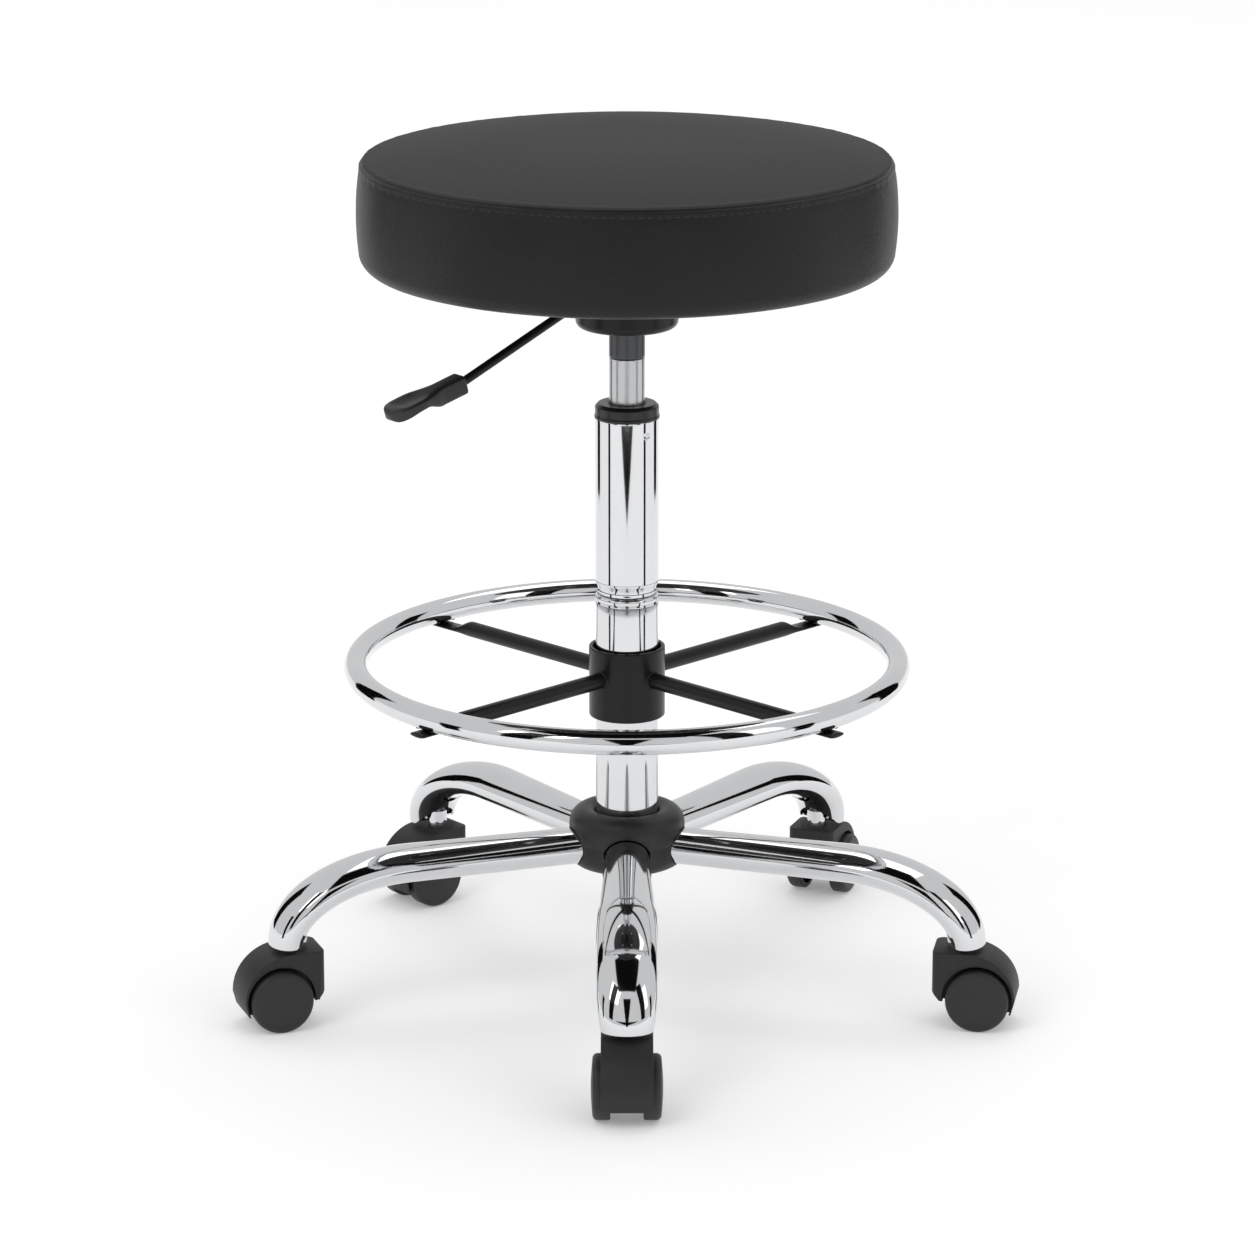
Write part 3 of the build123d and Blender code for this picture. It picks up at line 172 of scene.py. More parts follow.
class StoolCasterSettings(bpy.types.PropertyGroup):
    """Sizes of one twin-wheel caster"""

    trail: bpy.props.FloatProperty(
        name="Trail", description="From the stem to the axle", default=0.018, unit="LENGTH")
    wheel_radius: bpy.props.FloatProperty(
        name="Wheel Radius", description="Radius of a wheel", default=0.025, unit="LENGTH")
    inner: bpy.props.FloatProperty(
        name="Wheel Inner", description="From the middle plane to a wheel's inner face",
        default=0.0124, unit="LENGTH")
    outer: bpy.props.FloatProperty(
        name="Wheel Outer", description="From the middle plane to a wheel's outer face",
        default=0.0271, unit="LENGTH")
    half_width: bpy.props.FloatProperty(
        name="Hood Half Width", description="Half of the hood's width",
        default=0.0196, unit="LENGTH")
    hood_top: bpy.props.FloatProperty(
        name="Hood Top", description="Height of the hood's flat top",
        default=0.0625, unit="LENGTH")
    corner: bpy.props.FloatProperty(
        name="Corner", description="Rounding of the hood's front corners",
        default=0.009, unit="LENGTH")


class StoolLeverSettings(bpy.types.PropertyGroup):
    """Shape of the release lever and its paddle"""

    rod_radius: bpy.props.FloatProperty(
        name="Rod Radius", description="Radius of the bent rod", default=0.0035, unit="LENGTH")
    bend: bpy.props.FloatProperty(
        name="Bend", description="From the column to the rod's bend", default=0.0119, unit="LENGTH")
    slope: bpy.props.FloatProperty(
        name="Slope", description="How steeply the rod falls after its bend",
        default=math.radians(22.9), subtype="ANGLE")
    reach: bpy.props.FloatProperty(
        name="Reach", description="From the column to the paddle", default=0.159, unit="LENGTH")
    length: bpy.props.FloatProperty(
        name="Paddle Length", description="Length of the paddle", default=0.070, unit="LENGTH")
    paddle_slope: bpy.props.FloatProperty(
        name="Paddle Slope", description="How steeply the paddle falls",
        default=math.radians(15.0), subtype="ANGLE")


class StoolStageSettings(bpy.types.PropertyGroup):
    """Camera, lights and floor"""

    lens: bpy.props.FloatProperty(
        name="Lens", description="Focal length", default=140.4, subtype="DISTANCE_CAMERA")
    distance: bpy.props.FloatProperty(
        name="Distance", description="From the column to the camera", default=3.708, unit="LENGTH")
    height: bpy.props.FloatProperty(
        name="Height", description="Height of the camera", default=1.357, unit="LENGTH")
    pitch: bpy.props.FloatProperty(
        name="Pitch", description="How far the camera looks down", default=0.278, subtype="ANGLE")
    floor: bpy.props.FloatProperty(
        name="Floor", description="Side of the floor", default=60.0, unit="LENGTH")
    glow: bpy.props.FloatProperty(
        name="Floor Glow", description="Light that the floor gives off", default=0.33, min=0)
    sky: bpy.props.FloatProperty(
        name="Sky", description="Brightness of the studio's walls", default=0.74, min=0)


# ------------------------------------------------------------------ materials


class Value:
    """A node's output that answers to arithmetic, so that shader maths reads as an expression."""

    def __init__(self, shader, socket):
        self.shader = shader
        self.socket = socket

    def math(self, operation, *others, swap=False):
        operands = [*others, self] if swap else [self, *others]
        return self.shader.node("Math", {"operation": operation}, dict(enumerate(operands)))

    def __add__(self, other):
        return self.math("ADD", other)

    def __radd__(self, other):
        return self.math("ADD", other, swap=True)

    def __sub__(self, other):
        return self.math("SUBTRACT", other)

    def __rsub__(self, other):
        return self.math("SUBTRACT", other, swap=True)

    def __mul__(self, other):
        return self.math("MULTIPLY", other)

    def __rmul__(self, other):
        return self.math("MULTIPLY", other, swap=True)

    def least(self, other):
        return self.math("MINIMUM", other)

    def step(self, low, high):
        """0 below low, 1 above high, smooth between."""
        return self.shader.node("MapRange", {"interpolation_type": "SMOOTHSTEP"},
                                {"Value": self, "From Min": low, "From Max": high})


class Shader:
    """A material under construction round one Principled BSDF."""

    def __init__(self, name, colour, roughness, metallic=0.0, coat=0.0, sheen=0.0, specular=0.5):
        self.material = bpy.data.materials.new(name)
        self.material.use_nodes = True
        self.tree = self.material.node_tree
        self.surface = self.tree.nodes["Principled BSDF"]
        self.surface.inputs["Base Color"].default_value = (*colour, 1.0)
        self.surface.inputs["Roughness"].default_value = roughness
        self.surface.inputs["Metallic"].default_value = metallic
        self.surface.inputs["Coat Weight"].default_value = coat
        self.surface.inputs["Coat Roughness"].default_value = 0.08
        self.surface.inputs["Sheen Weight"].default_value = sheen
        self.surface.inputs["Specular IOR Level"].default_value = specular
        self.material.diffuse_color = (*colour, 1.0)

    def feed(self, socket, value):
        if isinstance(value, Value):
            self.tree.links.new(value.socket, socket)
        else:
            socket.default_value = value

    def node(self, kind, settings=None, inputs=None, output=0):
        """A node of that kind with its settings and inputs, given by name or by number."""
        made = self.tree.nodes.new("ShaderNode" + kind)
        for key, value in (settings or {}).items():
            setattr(made, key, value)
        for key, value in (inputs or {}).items():
            self.feed(made.inputs[key], value)
        return Value(self, made.outputs[output])

    def place(self):
        return self.node("TexCoord", output="Object")

    def mapped(self, scale):
        return self.node("Mapping", None, {"Vector": self.place(), "Scale": scale})

    def noise(self, scale, detail=2.0, vector=None):
        return self.node("TexNoise", None, {"Vector": vector or self.place(), "Scale": scale,
                                            "Detail": detail}, output="Fac")

    def cells(self, scale, feature):
        return self.node("TexVoronoi", {"feature": feature},
                         {"Vector": self.place(), "Scale": scale}, output="Distance")

    def blend(self, factor, dark, light):
        """A colour between two others."""
        return self.node("Mix", {"data_type": "RGBA"},
                         {0: factor, 6: (*dark, 1.0), 7: (*light, 1.0)}, output=2)

    def vary(self, name, value):
        self.feed(self.surface.inputs[name], value)

    def bump(self, height, distance):
        inputs = {"Height": height, "Distance": distance, "Strength": 1.0}
        self.vary("Normal", self.node("Bump", None, inputs, output="Normal"))


def vinyl(name, colour, lighter, roughness, pebble, depth, specular):
    """Upholstery vinyl: rounded pebbles parted by fine creases."""
    shader = Shader(name, colour, roughness, specular=specular)
    drift = shader.noise(9.0, 3.0)
    grain = shader.cells(pebble, "SMOOTH_F1")
    fine = shader.noise(pebble * 1.7, 3.0)
    shader.vary("Base Color", shader.blend(drift * 0.6 + fine * 0.4, colour, lighter))
    shader.vary("Roughness", roughness - 0.06 + drift * 0.08 + fine * 0.06)
    shader.bump(0.65 * (1.0 - grain) + 0.35 * fine, depth)
    return shader.material


def chrome(name, dimples=()):
    """Plated steel, with shallow crimped dimples at the given places."""
    shader = Shader(name, (0.70, 0.71, 0.72), 0.05, metallic=1.0)
    haze = shader.noise(30.0, 4.0)
    shader.vary("Roughness", 0.035 + haze * 0.045)
    shader.vary("Base Color", shader.blend(haze, (0.67, 0.68, 0.695), (0.74, 0.745, 0.755)))
    height = shader.noise(14.0, 1.0) * 0.02
    for place in dimples:
        offset = shader.node("VectorMath", {"operation": "DISTANCE"},
                             {0: shader.place(), 1: place}, output="Value")
        height = height + offset.step(0.0006, 0.0034)
    shader.bump(height, 0.0012)
    return shader.material


def turned_steel(name, colour, roughness):
    """Ground and turned steel: fine lines round the piece."""
    shader = Shader(name, colour, roughness, metallic=1.0)
    lines = shader.noise(1.0, 3.0, shader.mapped((20, 20, 2600)))
    lighter = [min(1.0, part * 1.18) for part in colour]
    shader.vary("Base Color", shader.blend(lines, colour, lighter))
    shader.vary("Roughness", roughness - 0.05 + lines * 0.12)
    shader.bump(lines, 0.00003)
    return shader.material


def paint(name, colour, roughness):
    """Stoved black paint with a faint orange peel."""
    shader = Shader(name, colour, roughness, coat=0.06, specular=0.25)
    peel = shader.noise(420.0, 1.0)
    dust = shader.noise(60.0, 5.0)
    shader.vary("Roughness", roughness - 0.02 + dust * 0.08)
    shader.vary("Base Color", shader.blend(dust, colour, [part * 1.5 for part in colour]))
    shader.bump(peel, 0.00006)
    return shader.material


def moulded(name, colour, roughness, depth=0.00008, grain=1500.0):
    """Moulded plastic with a fine spark-eroded grain."""
    shader = Shader(name, colour, roughness)
    pits = shader.noise(grain, 2.0)
    cloud = shader.noise(35.0, 3.0)
    shader.vary("Roughness", roughness - 0.05 + pits * 0.06 + cloud * 0.06)
    shader.vary("Base Color", shader.blend(cloud, colour, [part * 1.35 for part in colour]))
    shader.bump(pits, depth)
    return shader.material


def plywood(name):
    """Edge of a plywood board, ply over ply."""
    shader = Shader(name, (0.55, 0.38, 0.22), 0.7)
    plies = shader.node("TexWave", {"bands_direction": "Z"},
                        {"Vector": shader.place(), "Scale": 260.0, "Distortion": 1.5},
                        output="Fac")
    shader.vary("Base Color", shader.blend(plies, (0.36, 0.22, 0.11), (0.62, 0.45, 0.28)))
    shader.bump(plies, 0.0001)
    return shader.material


def woven(name, colour):
    """Thin black lining cloth."""
    shader = Shader(name, colour, 0.9, sheen=0.3)
    threads = [shader.node("TexWave", {"bands_direction": axis},
                           {"Vector": shader.place(), "Scale": 420.0}, output="Fac")
               for axis in ("X", "Y")]
    weave = threads[0] * threads[1]
    shader.vary("Base Color", shader.blend(weave, colour, [part * 2 for part in colour]))
    shader.bump(weave, 0.0003)
    return shader.material


def make_materials():
    """Every finish by name; the standpipe's has three crimped dimples near its top."""
    lo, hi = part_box("standpipe")
    pipe_x, pipe_y = (lo[0] + hi[0]) / 2, (lo[1] + hi[1]) / 2
    radius = (hi[0] - lo[0]) / 2
    turns = (math.radians(-52), math.radians(178), math.radians(62))
    dimples = [(pipe_x + radius * math.cos(a), pipe_y + radius * math.sin(a), hi[2] - 0.011)
               for a in turns]
    return {
        # Top and band are one vinyl. The top gets a lighter colour as painted light, and the band a
        # far darker one as painted shade.
        "seat_top_painted_light": vinyl("seat top vinyl painted light", (0.028, 0.028, 0.029), (0.040, 0.040, 0.041),
                          0.60, 900.0, 0.00016, 0.12),
        "seat_band_painted_shade": vinyl("seat band vinyl painted shade", (0.004, 0.004, 0.0045), (0.009, 0.009, 0.0095),
                           0.42, 620.0, 0.00042, 0.28),
        "thread": moulded("seat thread", (0.020, 0.020, 0.021), 0.6, 0.0001, 4000.0),
        "chrome": chrome("chrome"),
        "pipe_chrome": chrome("pipe chrome", dimples),
        "satin_steel": turned_steel("satin chrome cylinder", (0.48, 0.485, 0.495), 0.22),
        "dark_steel": turned_steel("dark satin steel", (0.075, 0.077, 0.08), 0.30),
        "zinc_steel": turned_steel("zinc plated steel", (0.60, 0.60, 0.56), 0.36),
        "black_coat": paint("black paint", (0.004, 0.004, 0.0045), 0.30),
        "hub_plastic": moulded("hub plastic", (0.008, 0.008, 0.0085), 0.42),
        "cap_plastic": moulded("cap plastic", (0.006, 0.006, 0.0065), 0.28, 0.00004),
        "caster_plastic": moulded("caster plastic", (0.009, 0.009, 0.0095), 0.54, 0.00014, 1100.0),
        "wheel_plastic": moulded("wheel plastic", (0.011, 0.011, 0.0115), 0.48, 0.00010, 1300.0),
        "lever_plastic": moulded("lever plastic", (0.009, 0.009, 0.0095), 0.36, 0.00006),
        "bumper_rubber": moulded("bumper rubber", (0.018, 0.018, 0.018), 0.75),
        "plywood": plywood("plywood"),
        "dust_cloth": woven("dust cloth", (0.012, 0.012, 0.012)),
        "foam": moulded("foam", (0.75, 0.70, 0.50), 0.95, 0.0004, 700.0),
    }


class STOOL_OT_materials(bpy.types.Operator):
    """Materials of every piece"""

    bl_idname = "stool.materials"
    bl_label = "Materials"

    def execute(self, context):
        LOOKS.update(make_materials())
        return {"FINISHED"}


# ------------------------------------------------------------------ mesh helpers


def middle(node):
    """Middle of a node's box at rest."""
    lo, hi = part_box(node)
    return (Vector(lo) + Vector(hi)) / 2


def column():
    """The column's axis on the floor."""
    place = middle("post")
    return Vector((place.x, place.y, 0.0))


def finish_piece(name, bm, materials, body, nodes=(), sharp=38.0, turn=True):
    """Turns a bmesh into a piece of the stool that rides on a body."""
    if turn:
        bmesh.ops.recalc_face_normals(bm, faces=bm.faces)
    mesh = bpy.data.meshes.new(name)
    bm.to_mesh(mesh)
    bm.free()
    if not mesh.polygons:
        raise RuntimeError(f"{name} came out empty")
    for material in materials:
        mesh.materials.append(material)
    mesh.shade_smooth()
    mesh.set_sharp_from_angle(angle=math.radians(sharp))
    piece = bpy.data.objects.new(name, mesh)
    bpy.context.scene.collection.objects.link(piece)
    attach(piece, body)
    if nodes:
        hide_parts(*nodes)
    return piece


def spin_outline(bm, outline, steps, matrix=None, closed=True):
    """Turns an outline of (radius, height) all the way round Z, then places it."""
    verts = [bm.verts.new((radius, 0.0, height)) for radius, height in outline]
    ends = verts[1:] + verts[:1] if closed else verts[1:]
    edges = [bm.edges.new(pair) for pair in zip(verts, ends)]
    before = set(bm.verts) - set(verts)
    bmesh.ops.spin(bm, geom=verts + edges, cent=(0, 0, 0), axis=(0, 0, 1),
                   angle=math.tau, steps=steps, use_merge=True)
    made = [vert for vert in bm.verts if vert not in before]
    bmesh.ops.remove_doubles(bm, verts=made, dist=1e-7)
    wires = [edge for edge in bm.edges if not edge.link_faces]
    bmesh.ops.delete(bm, geom=wires, context="EDGES")
    made = [vert for vert in bm.verts if vert not in before]
    if matrix is not None:
        bmesh.ops.transform(bm, matrix=matrix, verts=made)
    return made


def bevel_sharp(bm, width, segments=3, angle=28.0):
    """Rounds every edge sharper than the angle, in degrees."""
    edges = [edge for edge in bm.edges
             if edge.is_manifold and edge.calc_face_angle() > math.radians(angle)]
    bmesh.ops.bevel(bm, geom=edges, offset=width, offset_type="OFFSET", segments=segments,
                    profile=0.5, affect="EDGES", clamp_overlap=True, material=-1)


def sweep(bm, frames, segments, cap=True):
    """A circle of radius 1 carried through a row of frames, each ring extruded from the last."""
    circle = bmesh.ops.create_circle(bm, cap_ends=False, radius=1.0, segments=segments,
                                     matrix=frames[0])
    ring = list({edge for vert in circle["verts"] for edge in vert.link_edges})
    ends = [ring]
    for before, after in zip(frames, frames[1:]):
        grown = bmesh.ops.extrude_edge_only(bm, edges=ring)["geom"]
        verts = [part for part in grown if isinstance(part, bmesh.types.BMVert)]
        ring = [part for part in grown
                if isinstance(part, bmesh.types.BMEdge) and part.is_boundary]
        bmesh.ops.transform(bm, matrix=after @ before.inverted(), verts=verts)
    ends.append(ring)
    if cap:
        for end in ends:
            bmesh.ops.holes_fill(bm, edges=end, sides=0)


def frame_of(origin, across, up, along):
    """Matrix whose columns are the three directions, already scaled, and the origin."""
    matrix = Matrix.Identity(4)
    for index, part in enumerate((across, up, along, origin)):
        matrix.col[index][:3] = part
    return matrix


def path_frames(points, radius):
    """Frames of a tube of that radius along points in one plane."""
    sides = []
    for index in range(len(points)):
        low, high = max(index - 1, 0), min(index + 1, len(points) - 1)
        sides.append((points[high] - points[low]).normalized())
    normal = max((a.cross(b) for a, b in zip(sides, sides[1:])), key=lambda v: v.length)
    if normal.length < 1e-9:
        normal = sides[0].orthogonal()
    normal.normalize()
    return [frame_of(point, normal * radius, along.cross(normal) * radius, along)
            for point, along in zip(points, sides)]


def outline_solid(bm, outline, half):
    """A closed outline in XZ drawn out along Y, that far to each side."""
    verts = [bm.verts.new((x, -half, z)) for x, z in outline]
    face = bm.faces.new(verts)
    grown = bmesh.ops.extrude_face_region(bm, geom=[face])["geom"]
    far = [part for part in grown if isinstance(part, bmesh.types.BMVert)]
    bmesh.ops.translate(bm, verts=far, vec=(0, 2 * half, 0))


def arc(centre, radius, start, stop, count):
    """Points on a circle, angles in degrees, both ends included."""
    step = (stop - start) / count
    return [(centre[0] + radius * math.cos(math.radians(start + step * index)),
             centre[1] + radius * math.sin(math.radians(start + step * index)))
            for index in range(count + 1)]


def refined(name, node, material, body, bevel=0.0):
    """A welded, smooth-shaded copy of a CAD node with softened edges."""
    bm = bmesh.new()
    bm.from_mesh(frame["nodes"][node].data)
    bmesh.ops.remove_doubles(bm, verts=bm.verts, dist=1e-6)
    bmesh.ops.dissolve_limit(bm, angle_limit=math.radians(0.5), verts=bm.verts, edges=bm.edges)
    if bevel:
        bevel_sharp(bm, bevel, 2, 40.0)
    return finish_piece(name, bm, [material], body, [node], sharp=32.0)


def coordinates(obj):
    """World places of an object's evaluated vertices."""
    graph = bpy.context.evaluated_depsgraph_get()
    mesh = obj.evaluated_get(graph).to_mesh()
    return [vert.co.copy() for vert in mesh.vertices]


# ------------------------------------------------------------------ seat


def seat_outline(seat, low, top, inset):
    """Half section of the pad from the middle of its top to the middle of its underside."""
    side = seat.radius - inset
    seam = Vector((seat.radius - seat.seam_inset - inset, low + seat.band - inset / 2))
    high = top - inset
    points = [(seat.flat * step / 6, high) for step in range(7)]
    crown = [Vector((seat.flat, high)), Vector((seat.flat + 0.070, high)),
             Vector((seam.x - 0.027, seam.y + 0.009)), seam]
    for index in range(1, PROFILE_POINTS + 1):
        t = 1 - (1 - index / PROFILE_POINTS) ** 1.6
        weights = ((1 - t) ** 3, 3 * t * (1 - t) ** 2, 3 * t * t * (1 - t), t ** 3)
        points.append(tuple(sum((w * p for w, p in zip(weights, crown)), Vector((0, 0)))))
    turn = seat.bottom_round
    foot = low + turn
    bulge_end = side - 1 * MM
    for index in range(1, PROFILE_POINTS + 1):
        t = (index / PROFILE_POINTS) ** 1.35
        height = seam.y + (foot - seam.y) * t
        bulge = 4 * t * (1 - t) * 2.5 * MM
        points.append((seam.x + (bulge_end - seam.x) * t + bulge, height))
    for x, z in arc((bulge_end - turn, foot), turn, 0, -90, 8)[1:]:
        points.append((x, z))
    points += [(bulge_end - turn - step * 0.02, low) for step in range(1, 10)]
    return points + [(0.0, low)]


def pad_bmesh(seat, low, top, steps):
    """The pad a little shrunken, with its axis on Z."""
    bm = bmesh.new()
    spin_outline(bm, seat_outline(seat, low, top, seat.shrink), steps, closed=False)
    bmesh.ops.recalc_face_normals(bm, faces=bm.faces)
    return bm


def blown_up(seat, low, top):
    """Runs the pad as cloth under pressure and returns how far each of its points moved."""
    scene = bpy.context.scene
    bm = pad_bmesh(seat, low, top, CLOTH_START_STEPS)
    mesh = bpy.data.meshes.new("pad start")
    bm.to_mesh(mesh)
    bm.free()
    start = bpy.data.objects.new("pad start", mesh)
    scene.collection.objects.link(start)
    remesh = start.modifiers.new("voxels", "REMESH")
    remesh.mode = "VOXEL"
    remesh.voxel_size = seat.voxel
    graph = bpy.context.evaluated_depsgraph_get()
    voxels = bpy.data.meshes.new_from_object(start.evaluated_get(graph))
    pad = bpy.data.objects.new("pad cloth", voxels)
    scene.collection.objects.link(pad)
    rest = [vert.co.copy() for vert in voxels.vertices]
    held = pad.vertex_groups.new(name="held")
    seam_radius, seam_height = seat.radius - seat.seam_inset, low + seat.band
    for index, place in enumerate(rest):
        gap = math.hypot(math.hypot(place.x, place.y) - seam_radius, place.z - seam_height)
        if gap < SEAM_HOLD or place.z < low + 0.004:
            held.add([index], 1.0, "REPLACE")
    cloth = pad.modifiers.new("cloth", "CLOTH")
    cloth.settings.quality = 5
    cloth.settings.use_pressure = True
    cloth.settings.uniform_pressure_force = seat.pressure
    cloth.settings.effector_weights.gravity = 0.0
    cloth.settings.vertex_group_mass = "held"
    for number in range(1, CLOTH_FRAMES + 1):
        scene.frame_set(number)
    moved = coordinates(pad)
    scene.frame_set(1)
    tree = kdtree.KDTree(len(rest))
    for index, place in enumerate(rest):
        tree.insert(place, index)
    tree.balance()
    shifts = [now - before for now, before in zip(moved, rest)]
    for thing in (pad, start):
        data = thing.data
        bpy.data.objects.remove(thing)
        bpy.data.meshes.remove(data)
    return tree, shifts


def swell_at(place, tree, shifts, limit, known):
    """Movement of the cloth at a place, evened round the whole pad and softly capped."""
    radius = math.hypot(place.x, place.y)
    key = (round(radius, 5), round(place.z, 5))
    if key not in known:
        out = up = weight = 0.0
        for step in range(EVEN_TURNS):
            angle = math.tau * step / EVEN_TURNS
            facing = Vector((math.cos(angle), math.sin(angle), 0))
            spot = facing * radius + Vector((0, 0, place.z))
            for _, index, distance in tree.find_range(spot, EVEN_REACH):
                share = math.exp(-(distance / EVEN_SPREAD) ** 2)
                out += shifts[index].dot(facing) * share
                up += shifts[index].z * share
                weight += share
        known[key] = (out / max(weight, 1e-9), up / max(weight, 1e-9))
    out, up = known[key]
    facing = Vector((place.x, place.y, 0)) / max(radius, 1e-9)
    total = facing * out + Vector((0, 0, up))
    return total * (limit / (limit + total.length))


class STOOL_OT_seat_pad(bpy.types.Operator):
    """Padded seat: blown up as cloth, then grooved along its seam and puckered by its stitches"""

    bl_idname = "stool.seat_pad"
    bl_label = "Seat Pad"

    def execute(self, context):
        seat = context.scene.stool_seat
        centre = column()
        lo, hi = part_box("seat_cover")
        low, top = lo[2], hi[2]
        swell = blown_up(seat, low, top)
        known = {}
        bm = pad_bmesh(seat, low, top, PAD_STEPS)
        seam_radius = seat.radius - seat.seam_inset
        seam_height = low + seat.band
        for vert in bm.verts:
            place = vert.co.copy()
            if swell:
                vert.co += swell_at(place, *swell, seat.swell, known)
            radius = math.hypot(place.x, place.y)
            if radius < 0.15 and place.z < low + 0.01:
                continue
            outward = Vector((place.x, place.y, 0)) / max(radius, 1e-9)
            angle = math.atan2(place.y, place.x)
            gap = math.hypot(radius - seam_radius + seat.shrink,
                             place.z - seam_height + seat.shrink / 2)
            groove = seat.groove * math.exp(-(gap / 0.0013) ** 2)
            roll = 0.0008 * math.exp(-((gap - 0.0042) / 0.0022) ** 2)
            inward = (outward + Vector((0, 0, 0.7))).normalized()
            vert.co += inward * (roll - groove)
            below = seam_height - place.z
            pull = math.exp(-((below - seat.stitch_drop) / 0.0026) ** 2)
            pucker = 0.5 + 0.5 * math.cos(angle * seat.stitches / 2)
            uneven = noise.noise(Vector((angle * 9, place.z * 60, 2.0)))
            if below > 0.0005:
                fade = math.exp(-below / 0.020)
                vert.co -= outward * (0.0005 * pull + 0.00035 * pucker * pull
                                      + 0.0006 * uneven * fade)
            else:
                crease = noise.noise(Vector((angle * 26, radius * 20, 7.0)))
                fade = math.exp(-abs(seam_radius - radius) / 0.012)
                vert.co.z -= 0.0006 * crease * fade
            drift = noise.noise(Vector((place.x * 14, place.y * 14, place.z * 14)))
            vert.co += outward * 0.0005 * drift
        # Top faces take the vinyl painted lighter as painted light, and band faces take the one
        # painted darker as painted shade.
        for face in bm.faces:
            face.material_index = 0 if face.calc_center_median().z > seam_height - 0.001 else 1
        bmesh.ops.translate(bm, verts=bm.verts, vec=centre)
        piece = finish_piece("seat_pad", bm, [LOOKS["seat_top_painted_light"], LOOKS["seat_band_painted_shade"]], "seat",
                             ["seat_cover", "seat_foam"], sharp=80)
        context.view_layer.update()
        return {"FINISHED"}


class STOOL_OT_seat_stitches(bpy.types.Operator):
    """Row of stitches below the seam, and the staples that hold the cover under the board"""

    bl_idname = "stool.seat_stitches"
    bl_label = "Stitches and Staples"

    def execute(self, context):
        seat = context.scene.stool_seat
        centre = column()
        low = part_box("seat_cover")[0][2]
        pad = bpy.data.objects["seat_pad"]
        height = low + seat.band - seat.stitch_drop
        length, thick = 2.2 * MM, 0.45 * MM
        bm = bmesh.new()
        for index in range(seat.stitches):
            angle = math.tau * index / seat.stitches
            outward = Vector((math.cos(angle), math.sin(angle), 0))
            along = Vector((-outward.y, outward.x, 0))
            start = centre + outward * 0.3 + Vector((0, 0, height))
            hit, place, normal, _ = pad.ray_cast(start, -outward)
            if not hit:
                raise RuntimeError("a stitch missed the pad")
            matrix = frame_of(place - normal * 0.1 * MM, along * length,
                              normal.cross(along) * thick, normal * thick)
            bmesh.ops.create_icosphere(bm, subdivisions=1, radius=1.0, matrix=matrix)
        finish_piece("seat_stitches", bm, [LOOKS["thread"]], "seat", sharp=80)

        bm = bmesh.new()
        for index in range(seat.staples):
            angle = math.tau * (index + 0.3 * noise.noise(Vector((index, 1, 4)))) / seat.staples
            outward = Vector((math.cos(angle), math.sin(angle), 0))
            along = Vector((-outward.y, outward.x, 0))
            place = centre + outward * 188.5 * MM + Vector((0, 0, low - 0.2 * MM))
            matrix = frame_of(place, along * 10 * MM, outward * 1.2 * MM,
                              Vector((0, 0, 0.7 * MM)))
            bmesh.ops.create_cube(bm, size=1.0, matrix=matrix)
        bevel_sharp(bm, 0.0002, 1)
        finish_piece("seat_staples", bm, [LOOKS["zinc_steel"]], "seat")
        return {"FINISHED"}


class STOOL_OT_seat_mount(bpy.types.Operator):
    """Steel mount under the seat, its bolts and the lining cloth"""

    bl_idname = "stool.seat_mount"
    bl_label = "Seat Mount"

    def execute(self, context):
        refined("seat_mount_plate", "seat_mount", LOOKS["black_coat"], "seat",
                0.0005)
        refined("seat_bolts", "plate_bolts", LOOKS["zinc_steel"], "seat", 0.0003)
        refined("seat_board_edge", "seat_board", LOOKS["plywood"], "seat")
        refined("seat_lining", "dust_cover", LOOKS["dust_cloth"], "seat")
        refined("lever_hinge_pin", "lever_pivot", LOOKS["zinc_steel"], "seat")
        return {"FINISHED"}


# ------------------------------------------------------------------ column


def held_flat(outline):
    """The outline with a point just inside each end of its long runs, so that smooth shading
    doesn't carry a bevel's slope along them."""
    points = []
    for start, stop in zip(outline, outline[1:] + outline[:1]):
        a, b = Vector(start), Vector(stop)
        points.append(tuple(a))
        if (b - a).length > 6 * MM:
            along = (b - a).normalized() * 1.4 * MM
            points += [tuple(a + along), tuple(b - along)]
    return points


def turned_piece(name, outline, material, body, nodes, edge=None, sharp=38.0):
    """A piece turned about the column, from radius and height."""
    metal = bpy.context.scene.stool_metal
    bm = bmesh.new()
    spin_outline(bm, held_flat(outline), metal.steps, Matrix.Translation(column()))
    bmesh.ops.recalc_face_normals(bm, faces=bm.faces)
    bevel_sharp(bm, edge or metal.edge)
    return finish_piece(name, bm, [material], body, nodes, sharp=sharp)


